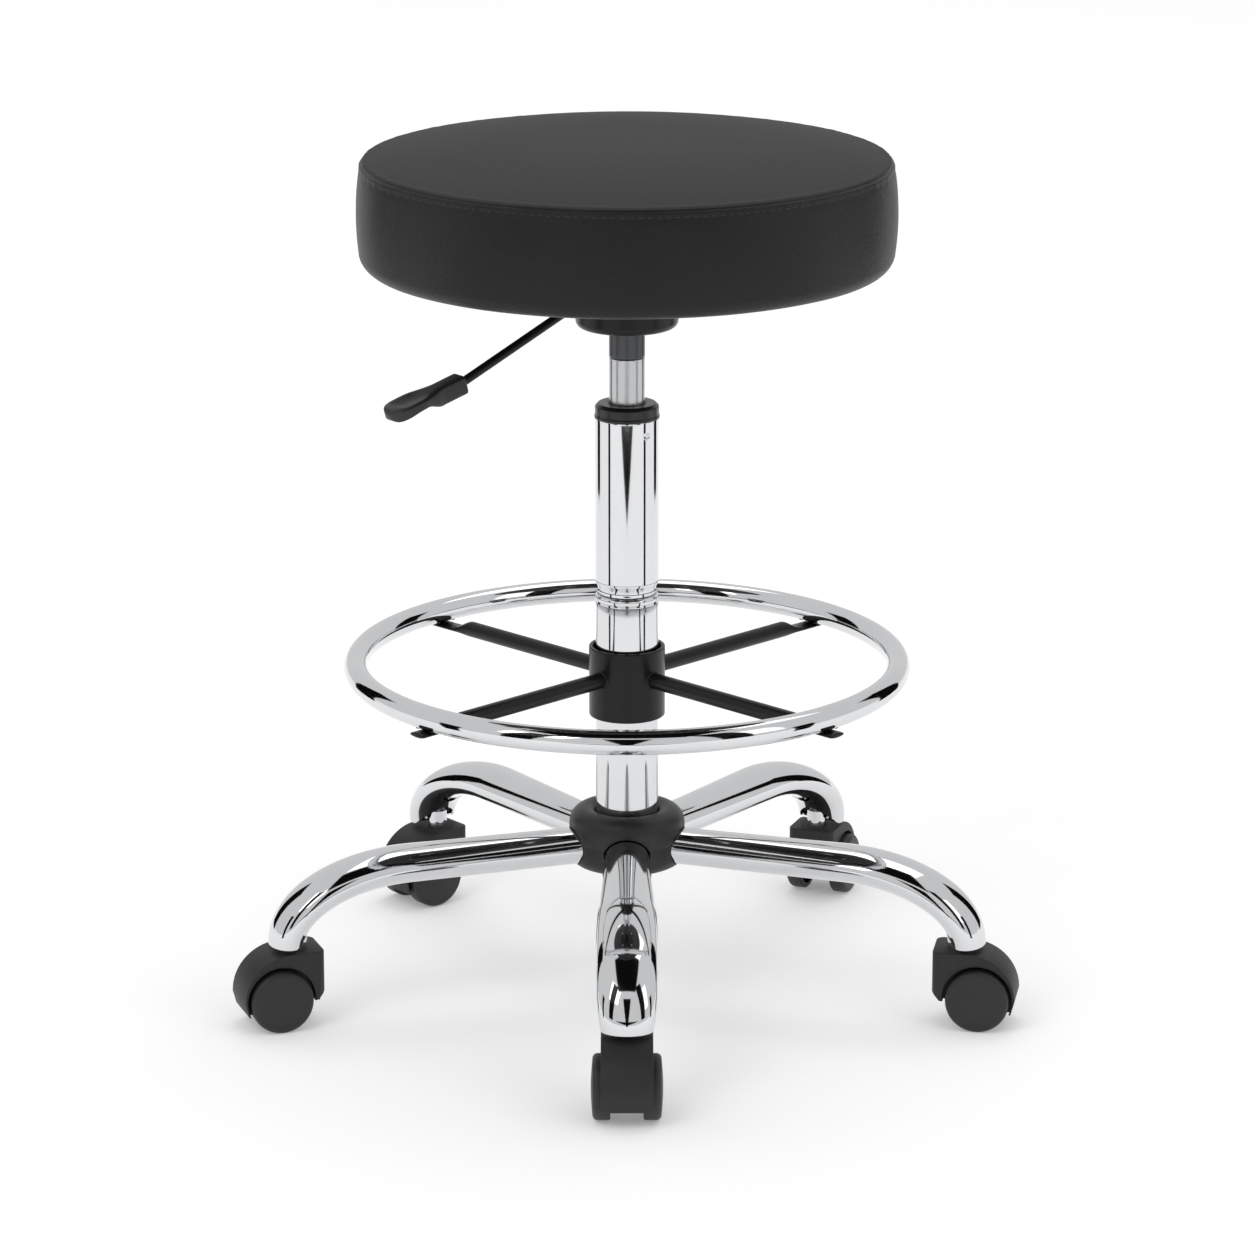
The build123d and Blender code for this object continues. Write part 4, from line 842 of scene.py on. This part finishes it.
class STOOL_OT_column(bpy.types.Operator):
    """Post, standpipe and the bushing in its top"""

    bl_idname = "stool.column"
    bl_label = "Column"

    def execute(self, context):
        lo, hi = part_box("standpipe")
        wide, top, foot = (hi[0] - lo[0]) / 2, hi[2], lo[2]
        lo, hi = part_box("post")
        post, post_top, post_low = (hi[0] - lo[0]) / 2, hi[2], lo[2]
        neck, wall = post - 1.8 * MM, 1.5 * MM
        step = post_top + 8 * MM
        turned_piece("standpipe_tube", [
            (neck - 1.4 * MM, foot), (neck, post_low), (neck, post_top + 2.5 * MM),
            (neck - 0.2 * MM, post_top + 4 * MM), (neck + 0.3 * MM, step - 1.5 * MM),
            (wide - 0.6 * MM, step + 0.9 * MM), (wide, step + 2.2 * MM), (wide, top),
            (wide - wall, top), (wide - wall, step + 4 * MM), (neck - wall, step),
            (neck - wall, post_low), (neck - 1.4 * MM - wall, foot + 4 * MM),
            (4.1 * MM, foot + 4 * MM), (4.1 * MM, foot + 1 * MM),
        ], LOOKS["pipe_chrome"], "base", ["standpipe"], 0.0005)
        turned_piece("post_tube", [
            (post, post_low), (post, post_top - 5.6 * MM), (post - 0.35 * MM, post_top - 4.8 * MM),
            (post, post_top - 4.0 * MM), (post, post_top - 1.2 * MM),
            (post - 1.1 * MM, post_top), (post - 1.7 * MM, post_top), (post - 1.7 * MM, post_low),
        ], LOOKS["chrome"], "base", ["post"], 0.0004)

        lo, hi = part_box("guide_bushing")
        lip, cap_top = (hi[0] - lo[0]) / 2, hi[2]
        bore = 14.05 * MM
        turned_piece("bushing_cap", [
            (bore, lo[2]), (wide - wall, lo[2]), (wide - wall, top), (lip, top),
            (lip, top + 2.0 * MM), (wide, top + 2.6 * MM), (wide, cap_top - 2.4 * MM),
            (wide - 2.4 * MM, cap_top), (bore + 1.6 * MM, cap_top), (bore, cap_top - 1.6 * MM),
        ], LOOKS["cap_plastic"], "base", ["guide_bushing"], 0.0004)
        return {"FINISHED"}


class STOOL_OT_gas_lift(bpy.types.Operator):
    """Gas lift: bright cylinder with a dark tapered head, and the rod inside it"""

    bl_idname = "stool.gas_lift"
    bl_label = "Gas Lift"

    def execute(self, context):
        lo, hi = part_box("gas_cylinder")
        radius, low, top = (hi[0] - lo[0]) / 2, lo[2], hi[2]
        shoulder = top - 53.6 * MM
        turned_piece("cylinder_bright", [
            (radius - 5 * MM, low), (radius - 1.2 * MM, low), (radius, low + 1.2 * MM),
            (radius, shoulder - 0.8 * MM), (radius - 0.5 * MM, shoulder - 0.1 * MM),
            (radius - 1.5 * MM, shoulder), (radius - 2 * MM, shoulder - 1 * MM),
            (radius - 2 * MM, low + 2 * MM), (radius - 5 * MM, low + 2 * MM),
        ], LOOKS["satin_steel"], "seat", [], 0.0002)
        cone = shoulder + 30.6 * MM
        turned_piece("cylinder_head", [
            (radius - 1.6 * MM, shoulder - 0.2 * MM), (radius - 0.25 * MM, shoulder + 0.1 * MM),
            (radius, shoulder + 0.7 * MM), (radius, cone), (radius - 0.8 * MM, top),
            (4.2 * MM, top), (4.2 * MM, shoulder - 0.2 * MM),
        ], LOOKS["dark_steel"], "seat", ["gas_cylinder"], 0.0002)
        refined("release_button", "release_pin", LOOKS["satin_steel"], "valve_pin")
        refined("lift_shaft", "piston_rod", LOOKS["satin_steel"], "lift_rod")
        return {"FINISHED"}


# ------------------------------------------------------------------ foot ring


class STOOL_OT_foot_ring(bpy.types.Operator):
    """Chrome foot ring"""

    bl_idname = "stool.foot_ring"
    bl_label = "Foot Ring"

    def execute(self, context):
        metal = context.scene.stool_metal
        lo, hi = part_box("foot_ring")
        tube = (hi[2] - lo[2]) / 2
        radius = (hi[0] - lo[0]) / 2 - tube
        centre = middle("foot_ring")
        bm = bmesh.new()
        spin_outline(bm, arc((radius, 0.0), tube, 0, 360, 48)[:-1], metal.ring_steps,
                     Matrix.Translation(centre))
        finish_piece("foot_ring_tube", bm, [LOOKS["chrome"]], "ring", ["foot_ring"],
                     sharp=80)
        return {"FINISHED"}


class STOOL_OT_ring_support(bpy.types.Operator):
    """Collar, its four spokes and their welds"""

    bl_idname = "stool.ring_support"
    bl_label = "Ring Support"

    def execute(self, context):
        lo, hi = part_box("foot_ring")
        tube = (hi[2] - lo[2]) / 2
        radius = (hi[0] - lo[0]) / 2 - tube
        centre = column()
        under = lo[2]
        height = under + 0.3 * MM
        end = radius + 12 * MM
        flat_start, half = end - 30 * MM, 6.35 * MM
        blend_start = flat_start - 18 * MM
        flat_height = under - 2 * MM
        flat_half, flat_thick = 8 * MM, 2 * MM
        bm = bmesh.new()
        welds = bmesh.new()
        for index in range(4):
            turn = Matrix.Translation(centre) @ Matrix.Rotation(
                math.radians(45 + 90 * index), 4, "Z")
            frames = []
            for place in (27.5 * MM, 60 * MM, 110 * MM, blend_start - 1 * MM):
                frames.append((place, half, half, height))
            for step in range(13):
                t = step / 12
                ease = t * t * (3 - 2 * t)
                frames.append((blend_start + (flat_start - blend_start) * t,
                               half + (flat_half - half) * ease,
                               half + (flat_thick - half) * ease,
                               height + (flat_height - height) * ease))
            frames += [(end - 2 * MM, flat_half, flat_thick, flat_height),
                       (end - 0.5 * MM, 7.7 * MM, 1.7 * MM, flat_height),
                       (end, 7.0 * MM, 1.0 * MM, flat_height)]
            sweep(bm, [turn @ frame_of(Vector((x, 0, z)), Vector((0, w, 0)), Vector((0, 0, h)),
                                       Vector((1, 0, 0))) for x, w, h, z in frames], 40)
            # bead where the spoke meets the collar
            bead = arc((half + 0.1 * MM, 0.0), 1.3 * MM, 0, 360, 10)[:-1]
            upright = turn @ Matrix.Translation((29.6 * MM, 0, height)) \
                @ Matrix.Rotation(math.pi / 2, 4, "Y")
            ring = spin_outline(welds, bead, 40, upright)
            for vert in ring:
                lump = noise.noise(vert.co * 700)
                local = turn.inverted() @ vert.co
                sag = 30 * MM - math.sqrt((30 * MM) ** 2 - local.y ** 2)
                vert.co -= (turn.to_3x3() @ Vector((1, 0, 0))) * (sag - 0.35 * MM * lump)
            # two short beads where the flat end meets the ring
            for side in (-1, 1):
                points = [turn @ Vector((radius + dx * MM, side * 8.0 * MM, under + 0.5 * MM
                                         + (dx * MM) ** 2 / (2 * tube))) for dx in (-5, -2, 1, 4)]
                sweep(welds, path_frames(points, 1.1 * MM), 10)
        finish_piece("ring_spoke_tubes", bm, [LOOKS["black_coat"]], "ring", ["ring_spokes"],
                     sharp=60)
        finish_piece("ring_welds", welds, [LOOKS["black_coat"]], "ring",
                     sharp=80)

        lo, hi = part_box("ring_collar")
        outer = 30 * MM
        inner = outer - 3 * MM
        bm = bmesh.new()
        spin_outline(bm, held_flat([(inner, lo[2]), (outer, lo[2]), (outer, hi[2]),
                                    (inner, hi[2])]), 96, Matrix.Translation(centre))
        bmesh.ops.recalc_face_normals(bm, faces=bm.faces)
        bevel_sharp(bm, 0.0009)
        screw = middle("clamp_screw")
        facing = Matrix.Translation((screw.x, centre.y, screw.z)) @ Matrix.Rotation(
            -math.pi / 2, 4, "X")
        spin_outline(bm, [(4.1 * MM, 28.6 * MM), (8 * MM, 28.6 * MM), (8 * MM, 38.4 * MM),
                          (7.4 * MM, 39 * MM), (4.1 * MM, 39 * MM)], 48, facing)
        finish_piece("ring_collar_band", bm, [LOOKS["black_coat"]], "ring", ["ring_collar"])
        return {"FINISHED"}


class STOOL_OT_clamp(bpy.types.Operator):
    """Clamp screw and its lobed knob at the back of the collar"""

    bl_idname = "stool.clamp"
    bl_label = "Clamp Screw"

    def execute(self, context):
        refined("clamp_screw_shank", "clamp_screw", LOOKS["zinc_steel"], "clamp_travel",
                0.0003)
        refined("clamp_knob_grip", "clamp_knob", LOOKS["cap_plastic"], "clamp_grip",
                0.0008)
        return {"FINISHED"}


# ------------------------------------------------------------------ base


def leg_frames(leg, start):
    """Frames along a leg that points along +X, ringed across by half its width and depth."""
    root, straight_end, knee, end = (width / 2 for width in leg.widths)
    deep, shallow = (depth / 2 for depth in leg.depths)
    hub = 46 * MM
    frames = []
    count = leg.sections // 2
    for step in range(count):
        x = start + (leg.straight - start) * step / count
        share = max(0.0, (x - hub) / (leg.straight - hub))
        frames.append(frame_of(Vector((x, 0, leg.height)),
                               Vector((0, root + (straight_end - root) * share, 0)),
                               Vector((0, 0, deep)), Vector((1, 0, 0))))
    drop = leg.height - leg.end
    for step in range(count + 1):
        t = step / count
        turn = t * math.pi / 2
        along = Vector((leg.reach * math.cos(turn), 0, -drop * math.sin(turn))).normalized()
        width = straight_end + (knee - straight_end) * math.sin(min(1.0, 2 * t) * math.pi / 2) \
            - (knee - end) * max(0.0, 2 * t - 1) ** 2
        up = Vector((-along.z, 0, along.x))
        place = Vector((leg.straight + leg.reach * math.sin(turn), 0,
                        leg.end + drop * math.cos(turn)))
        frames.append(frame_of(place, Vector((0, width, 0)), up * (deep + (shallow - deep) * t),
                               along))
    return frames


def leg_mesh(leg, matrix):
    """Bent oval tube with its outer end cut open towards the hub."""
    bm = bmesh.new()
    frames = leg_frames(leg, 31 * MM)
    sweep(bm, frames, 72, cap=False)
    start = Vector((leg.mouth[0], 0, leg.mouth[1]))
    stop = Vector((leg.mouth[2], 0, leg.end))
    near = min(frames, key=lambda m: (m.col[3].xyz - m.col[1].xyz - start).length)
    along = near.col[2].xyz
    run = (stop - start).normalized()
    cut = Vector((-run.z, 0, run.x))
    beyond = [face for face in bm.faces
              if (face.calc_center_median() - start).dot(along) > 0]
    geom = list({part for face in beyond for part in (face, *face.edges, *face.verts)})
    bmesh.ops.bisect_plane(bm, geom=geom, plane_co=start, plane_no=cut, dist=1e-6)
    inside = [face for face in bm.faces
              if (face.calc_center_median() - start).dot(along) > 0
              and (face.calc_center_median() - start).dot(cut) < 0]
    bmesh.ops.delete(bm, geom=inside, context="FACES")
    cut_verts = [vert for vert in bm.verts
                 if vert.is_boundary and (vert.co - start).dot(along) > -0.001]
    bmesh.ops.remove_doubles(bm, verts=cut_verts, dist=0.0006)
    bmesh.ops.dissolve_degenerate(bm, dist=0.0002, edges=bm.edges)
    bmesh.ops.recalc_face_normals(bm, faces=bm.faces)
    sample = max(bm.faces, key=lambda face: face.calc_center_median().z)
    if sample.normal.z < 0:
        bmesh.ops.reverse_faces(bm, faces=bm.faces)
    high = max(vert.co.z for vert in bm.verts)
    bmesh.ops.solidify(bm, geom=bm.faces[:], thickness=leg.wall)
    grown = max(vert.co.z for vert in bm.verts) - high
    if grown > leg.wall / 2:
        raise RuntimeError("a leg's wall was added on the outside")
    bmesh.ops.transform(bm, matrix=matrix, verts=bm.verts)
    return bm


def stem_place(name):
    """Where a caster's stem turns."""
    return Vector(JOINTS[f"{name}_caster_swivel"]["pos_m"])


class STOOL_OT_legs(bpy.types.Operator):
    """Five bent chrome legs and the caster sockets in their ends"""

    bl_idname = "stool.legs"
    bl_label = "Legs"

    def execute(self, context):
        leg = context.scene.stool_leg
        centre = column()
        for name in LEGS:
            out = stem_place(name) - centre
            matrix = Matrix.Translation(centre) @ Matrix.Rotation(
                math.atan2(out.y, out.x), 4, "Z")
            finish_piece(f"{name}_leg_tube", leg_mesh(leg, matrix), [LOOKS["chrome"]], "base",
                         [f"{name}_leg"], sharp=40, turn=False)
        refined("caster_sockets", "stem_sockets", LOOKS["chrome"], "base")
        return {"FINISHED"}


class STOOL_OT_hub(bpy.types.Operator):
    """Moulded hub covers and the steel core behind them"""

    bl_idname = "stool.hub"
    bl_label = "Hub"

    def execute(self, context):
        refined("hub_upper_cover", "hub_cover_top", LOOKS["hub_plastic"], "base",
                0.0005)
        refined("hub_lower_cover", "hub_cover_bottom", LOOKS["hub_plastic"], "base",
                0.0005)
        refined("hub_steel_core", "hub_core", LOOKS["dark_steel"], "base")
        return {"FINISHED"}


# ------------------------------------------------------------------ casters


def hood_mesh(caster, matrix):
    """Arch over both wheels and the web between them; stem at the origin, axle along -X."""
    axle = Vector((-caster.trail, caster.wheel_radius))
    gap = caster.wheel_radius + 2.2 * MM
    front, back, low = 18 * MM, -47.5 * MM, 14 * MM
    flat_end = -9 * MM
    arch_back = [(flat_end + (back - flat_end) * math.sin(math.radians(angle)),
                  axle.y + (caster.hood_top - axle.y) * math.cos(math.radians(angle)))
                 for angle in range(0, 91, 5)]
    reach = math.sqrt(gap ** 2 - (axle.y - low) ** 2)
    pocket = arc(axle, gap, math.degrees(math.atan2(low - axle.y, -reach)) % 360, -6, 40)
    outline = [(front, caster.hood_top), *arch_back, (-44.55 * MM, low), *pocket,
               (front - 6 * MM, 23 * MM), (front, 29 * MM)]
    bm = bmesh.new()
    outline_solid(bm, outline, caster.half_width)
    corners = [edge for edge in bm.edges
               if all(abs(vert.co.x - front) < 1e-6 for vert in edge.verts)
               and abs(edge.verts[0].co.z - edge.verts[1].co.z) > 0.02]
    bmesh.ops.bevel(bm, geom=corners, offset=caster.corner, offset_type="OFFSET", segments=10,
                    profile=0.5, affect="EDGES", clamp_overlap=True, material=-1)
    bmesh.ops.recalc_face_normals(bm, faces=bm.faces)
    bevel_sharp(bm, 0.0010, 3, 34.0)
    web = gap + 0.3 * MM
    inner = caster.inner - 0.5 * MM
    chord = arc(axle, web, -5, 205, 35)
    skirt = arc(axle, 15.8 * MM, 225, 329, 13)
    outline_solid(bm, [*chord, (-43.0 * MM, low), *skirt, (9.0 * MM, 22.6 * MM)], inner)
    bmesh.ops.recalc_face_normals(bm, faces=bm.faces)
    # two shallow ejector marks on the flat top
    for side in (-1, 1):
        mark = Matrix.Translation((9.5 * MM, side * 10 * MM, caster.hood_top))
        spin_outline(bm, [(0.0, 0.12 * MM), (1.3 * MM, 0.10 * MM), (1.7 * MM, -0.2 * MM)], 20,
                     mark, closed=False)
    bmesh.ops.transform(bm, matrix=matrix, verts=bm.verts)
    return bm


def wheel_mesh(caster, matrix):
    """Wheel with a softly domed disc, hollow behind; its axle is Z and Z points outwards."""
    radius, inner, outer = caster.wheel_radius, caster.inner, caster.outer
    edge, face = radius - 4 * MM, outer - 1.2 * MM
    shoulder = arc((edge, face - 4 * MM), 4 * MM, 0, 90, 10)
    dome = [(edge * (1 - step / 10), face + 1.2 * MM * math.sin(math.pi / 2 * step / 10))
            for step in range(1, 11)]
    hollow = face - 3 * MM
    outline = [(4.05 * MM, inner + 0.4 * MM), (4.4 * MM, inner), (7.1 * MM, inner),
               (7.5 * MM, inner + 0.4 * MM), (7.5 * MM, hollow), (radius - 4 * MM, hollow),
               (radius - 4 * MM, inner), (radius - 1 * MM, inner), (radius, inner + 1 * MM),
               *shoulder, *dome, (0.0, outer - 4.7 * MM), (4.05 * MM, outer - 4.7 * MM)]
    bm = bmesh.new()
    spin_outline(bm, outline, 96, matrix)
    return bm


class STOOL_OT_casters(bpy.types.Operator):
    """Hoods, stems, axles and wheels of the five twin-wheel casters"""

    bl_idname = "stool.casters"
    bl_label = "Casters"

    def execute(self, context):
        caster = context.scene.stool_caster
        for name in LEGS:
            body = f"{name}_caster"
            stem = stem_place(name)
            axle = Vector(JOINTS[f"{name}_wheel_a_roll"]["pos_m"])
            back = stem - axle
            matrix = Matrix.Translation((stem.x, stem.y, 0)) @ Matrix.Rotation(
                math.atan2(back.y, back.x), 4, "Z")
            finish_piece(f"{name}_hood", hood_mesh(caster, matrix), [LOOKS["caster_plastic"]],
                         body, [f"{name}_caster_hood"], sharp=36)
            refined(f"{name}_stem", f"{name}_caster_stem", LOOKS["satin_steel"], body)
            refined(f"{name}_axle", f"{name}_caster_axle", LOOKS["zinc_steel"], body)
            for letter in "ab":
                node = f"{name}_wheel_{letter}"
                outward = (middle(node) - axle).normalized()
                place = Matrix.Translation(axle) @ outward.to_track_quat("Z", "Y").to_matrix() \
                    .to_4x4()
                finish_piece(f"{name}_disc_{letter}", wheel_mesh(caster, place),
                             [LOOKS["wheel_plastic"]], f"{name}_roller_{letter}", [node],
                             sharp=34)
        return {"FINISHED"}


# ------------------------------------------------------------------ lever


def eased(value, low, high):
    """0 below low, 1 above high, smooth between."""
    t = min(1.0, max(0.0, (value - low) / (high - low)))
    return t * t * (3 - 2 * t)


def paddle_point(lever, x, cosine, sine):
    """Surface of the paddle: a square block that widens to a dished, rounded pad."""
    length = lever.length
    half, block = 14.5 * MM, 8.0 * MM
    width = block + (half - block) * eased(x, 20 * MM, 46 * MM)
    if x > length - half:
        width = half * math.sqrt(max(0.0004, 1 - ((x - length + half) / half) ** 2))
    top, low = 7.5 * MM, -7.5 * MM
    low += 6.7 * MM * eased(x, 24 * MM, 42 * MM) - 2.5 * MM * eased(x, 44 * MM, length)
    centre, tall = (top + low) / 2, (top - low) / 2
    tip = max(0.0, (x - length + 5 * MM) / (5 * MM))
    tall *= math.sqrt(max(0.02, 1 - tip ** 2)) if tip else 1.0
    heel = max(0.0, 1 - x / (1.2 * MM))
    square = 1 - 0.10 * heel ** 2
    power = 2 / 5.5
    across = math.copysign(abs(cosine) ** power, cosine) * width * square
    rise = math.copysign(abs(sine) ** power, sine) * tall * square
    if sine > 0:
        share = across / max(width, 1e-6)
        run = eased(x, 30 * MM, 44 * MM) * (1 - eased(x, length - 14 * MM, length - 4 * MM))
        rise -= 1.4 * MM * run * max(0.0, 1 - share ** 2) ** 1.5
    return Vector((x, across, centre + rise))


class STOOL_OT_lever(bpy.types.Operator):
    """Bent release lever with its moulded paddle"""

    bl_idname = "stool.lever"
    bl_label = "Release Lever"

    def execute(self, context):
        lever = context.scene.stool_lever
        centre = column()
        pivot = Vector(JOINTS["lever_tilt"]["pos_m"])
        out = Vector((pivot.x - centre.x, pivot.y - centre.y, 0)).normalized()
        up = Vector((0, 0, 1))
        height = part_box("release_pin")[1][2] + 0.3 * MM + lever.rod_radius
        turn, slope = 12 * MM, lever.slope
        tangent = turn * math.tan(slope / 2)
        points = [(-6 * MM, 0.0)]
        bend_start = lever.bend - tangent
        for step in range(9):
            angle = slope * step / 8
            points.append((bend_start + turn * math.sin(angle), -turn * (1 - math.cos(angle))))
        end = lever.reach + 13 * MM
        for step in range(1, 6):
            x = lever.bend + tangent + (end - lever.bend - tangent) * step / 5
            points.append((x, -(x - lever.bend) * math.tan(slope)))
        path = [centre + out * x + up * (height + z) for x, z in points]
        bm = bmesh.new()
        sweep(bm, path_frames(path, lever.rod_radius), 32)
        axis = Vector(JOINTS["lever_tilt"]["axis"])
        eye = Matrix.Translation(pivot) @ axis.to_track_quat("Z", "Y").to_matrix().to_4x4()
        spin_outline(bm, [(2.55 * MM, -4 * MM), (5.6 * MM, -4 * MM), (6 * MM, -3.6 * MM),
                          (6 * MM, 3.6 * MM), (5.6 * MM, 4 * MM), (2.55 * MM, 4 * MM)], 48, eye)
        finish_piece("lever_arm", bm, [LOOKS["black_coat"]], "lever", ["lever_rod"],
                     sharp=50)

        stations = [0.0, 0.4, 0.8, 1.2] + [1.2 + 66.8 * step / 60 for step in range(1, 61)] \
            + [68.6, 69.1, 69.5, 69.8, 70.0]
        frames = [frame_of(Vector((x * MM, 0, 0)), Vector((0, 1, 0)), up, Vector((1, 0, 0)))
                  for x in stations]
        bm = bmesh.new()
        sweep(bm, frames, 64)
        for vert in bm.verts:
            vert.co = paddle_point(lever, vert.co.x, vert.co.y, vert.co.z)
        fall = lever.paddle_slope
        along = out * math.cos(fall) - up * math.sin(fall)
        above = out * math.sin(fall) + up * math.cos(fall)
        base = centre + out * lever.reach \
            + up * (height - (lever.reach - lever.bend) * math.tan(slope))
        bmesh.ops.transform(bm, matrix=frame_of(base, above.cross(along), above, along)
                            @ Matrix(((0, 1, 0, 0), (0, 0, 1, 0), (1, 0, 0, 0), (0, 0, 0, 1))),
                            verts=bm.verts)
        finish_piece("lever_paddle", bm, [LOOKS["lever_plastic"]], "lever", ["lever_handle"],
                     sharp=50)
        return {"FINISHED"}


# ------------------------------------------------------------------ remaining frame pieces


class STOOL_OT_inner_pieces(bpy.types.Operator):
    """Gives the inner pieces that stay as the frame made them their finish"""

    bl_idname = "stool.inner_pieces"
    bl_label = "Inner Pieces"

    def execute(self, context):
        looks = {"piston": "cap_plastic", "bumper": "bumper_rubber", "rod_clip": "zinc_steel",
                 "rod_guide": "cap_plastic", "thrust_bearing": "satin_steel",
                 "grip_rings": "satin_steel"}
        for node, look in looks.items():
            mesh = frame["nodes"][node].data
            mesh.materials.clear()
            mesh.materials.append(LOOKS[look])
        return {"FINISHED"}


# ------------------------------------------------------------------ stage


def stage_light(name, place, target, size, power):
    """A soft rectangular light that points at its target."""
    light = bpy.data.lights.new(name, "AREA")
    light.shape = "RECTANGLE"
    light.size, light.size_y = size
    light.energy = power
    lamp = bpy.data.objects.new(name, light)
    lamp.location = place
    lamp.rotation_euler = (Vector(target) - Vector(place)).to_track_quat("-Z", "Y").to_euler()
    bpy.context.scene.collection.objects.link(lamp)


def stage_floor(stage):
    """Pale floor that glows a little more the farther it is from the stool."""
    shader = Shader("studio floor", (0.86, 0.86, 0.86), 0.75, specular=0.0)
    shader.surface.inputs["Emission Color"].default_value = (1, 1, 1, 1)
    shader.surface.inputs["Emission Strength"].default_value = stage.glow
    tone = shader.noise(1.5, 2.0)
    shader.vary("Base Color", shader.blend(tone, (0.85, 0.85, 0.85), (0.87, 0.87, 0.87)))
    away = shader.node("VectorMath", {"operation": "LENGTH"}, {0: shader.place()},
                       output="Value")
    shader.vary("Emission Color", shader.blend((away * 0.24).least(1.0), (0.62, 0.62, 0.62),
                                               (1, 1, 1)))
    bm = bmesh.new()
    bmesh.ops.create_grid(bm, x_segments=8, y_segments=8, size=stage.floor / 2)
    mesh = bpy.data.meshes.new("studio_floor")
    bm.to_mesh(mesh)
    bm.free()
    mesh.materials.append(shader.material)
    floor = bpy.data.objects.new("studio_floor", mesh)
    bpy.context.scene.collection.objects.link(floor)
    return floor


def card_outlines(centre):
    """Corners of the dark cards, the overhead one last."""
    outlines = []
    for turn, distance, foot, head, low, high in DARK_CARDS:
        angle = math.radians(turn - 90)
        facing = Vector((math.cos(angle), math.sin(angle), 0))
        across = Vector((-facing.y, facing.x, 0)) * distance
        base = centre + facing * distance
        corners = [(-foot, low), (foot, low), (head, high), (-head, high)]
        outlines.append([base + across * math.tan(math.radians(half)) + Vector((0, 0, height))
                         for half, height in corners])
    wide, front, back, height = OVERHEAD_CARD
    corners = [(-wide, front), (wide, front), (wide, back), (-wide, back)]
    outlines.append([centre + Vector((x, y, height)) for x, y in corners])
    return outlines


def dark_card(name, outline, material):
    """A black card that only reflections see."""
    bm = bmesh.new()
    bm.faces.new([bm.verts.new(corner) for corner in outline])
    mesh = bpy.data.meshes.new(name)
    bm.to_mesh(mesh)
    bm.free()
    mesh.materials.append(material)
    card = bpy.data.objects.new(name, mesh)
    card.visible_camera = False
    card.visible_diffuse = False
    card.visible_shadow = False
    bpy.context.scene.collection.objects.link(card)
    return card


class STOOL_OT_stage(bpy.types.Operator):
    """Pale floor, soft studio lights, dark cards for the chrome to reflect, and the camera"""

    bl_idname = "stool.stage"
    bl_label = "Stage"

    def execute(self, context):
        stage = context.scene.stool_stage
        centre = column()
        floor = stage_floor(stage)
        black = Shader("dark card", (0.004, 0.004, 0.004), 0.9, specular=0.0)
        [dark_card(f"dark_card_{index}", outline, black.material)
                          for index, outline in enumerate(card_outlines(centre))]

        world = bpy.data.worlds.new("studio")
        world.use_nodes = True
        world.node_tree.nodes["Background"].inputs["Color"].default_value = (1, 1, 1, 1)
        world.node_tree.nodes["Background"].inputs["Strength"].default_value = stage.sky
        context.scene.world = world
        context.scene.view_settings.view_transform = "Standard"
        for light in LIGHTS:
            stage_light(*light)

        data = bpy.data.cameras.new("camera")
        data.lens = stage.lens
        data.sensor_width = 36.0
        data.clip_end = 200.0
        camera = bpy.data.objects.new("camera", data)
        camera.location = (centre.x, centre.y - stage.distance, stage.height)
        camera.rotation_euler = (math.pi / 2 - stage.pitch, 0, 0)
        context.scene.collection.objects.link(camera)
        context.scene.camera = camera
        return {"FINISHED"}


# ------------------------------------------------------------------ add-on


class STOOL_PT_build(bpy.types.Panel):
    """Buttons and sizes of the stool"""

    bl_idname = "STOOL_PT_build"
    bl_label = "Swivel Stool"
    bl_space_type = "VIEW_3D"
    bl_region_type = "UI"
    bl_category = "Stool"

    def draw(self, context):
        layout = self.layout
        for operator in OPERATORS:
            layout.operator(operator.bl_idname)
        for attribute, group in SETTINGS.items():
            box = layout.box()
            box.label(text=group.__doc__)
            for name in group.__annotations__:
                box.prop(getattr(context.scene, attribute), name)


LOOKS = {}

SETTINGS = {
    "stool_seat": StoolSeatSettings,
    "stool_metal": StoolMetalSettings,
    "stool_leg": StoolLegSettings,
    "stool_caster": StoolCasterSettings,
    "stool_lever": StoolLeverSettings,
    "stool_stage": StoolStageSettings,
}

OPERATORS = (
    STOOL_OT_materials,
    STOOL_OT_seat_pad,
    STOOL_OT_seat_stitches,
    STOOL_OT_seat_mount,
    STOOL_OT_column,
    STOOL_OT_gas_lift,
    STOOL_OT_foot_ring,
    STOOL_OT_ring_support,
    STOOL_OT_clamp,
    STOOL_OT_legs,
    STOOL_OT_hub,
    STOOL_OT_casters,
    STOOL_OT_lever,
    STOOL_OT_inner_pieces,
    STOOL_OT_stage,
)


def register():
    """Adds the settings, the operators and the panel."""
    for group in SETTINGS.values():
        bpy.utils.register_class(group)
    for attribute, group in SETTINGS.items():
        setattr(bpy.types.Scene, attribute, bpy.props.PointerProperty(type=group))
    for operator in OPERATORS:
        bpy.utils.register_class(operator)
    bpy.utils.register_class(STOOL_PT_build)


def unregister():
    """Takes away what register added."""
    bpy.utils.unregister_class(STOOL_PT_build)
    for operator in reversed(OPERATORS):
        bpy.utils.unregister_class(operator)
    for attribute, group in SETTINGS.items():
        delattr(bpy.types.Scene, attribute)
        bpy.utils.unregister_class(group)


def main():
    """Builds the stool piece by piece."""
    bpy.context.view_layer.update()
    register()
    for operator in OPERATORS:
        group, name = operator.bl_idname.split(".")
        getattr(getattr(bpy.ops, group), name)()


if __name__ == "__main__":
    main()
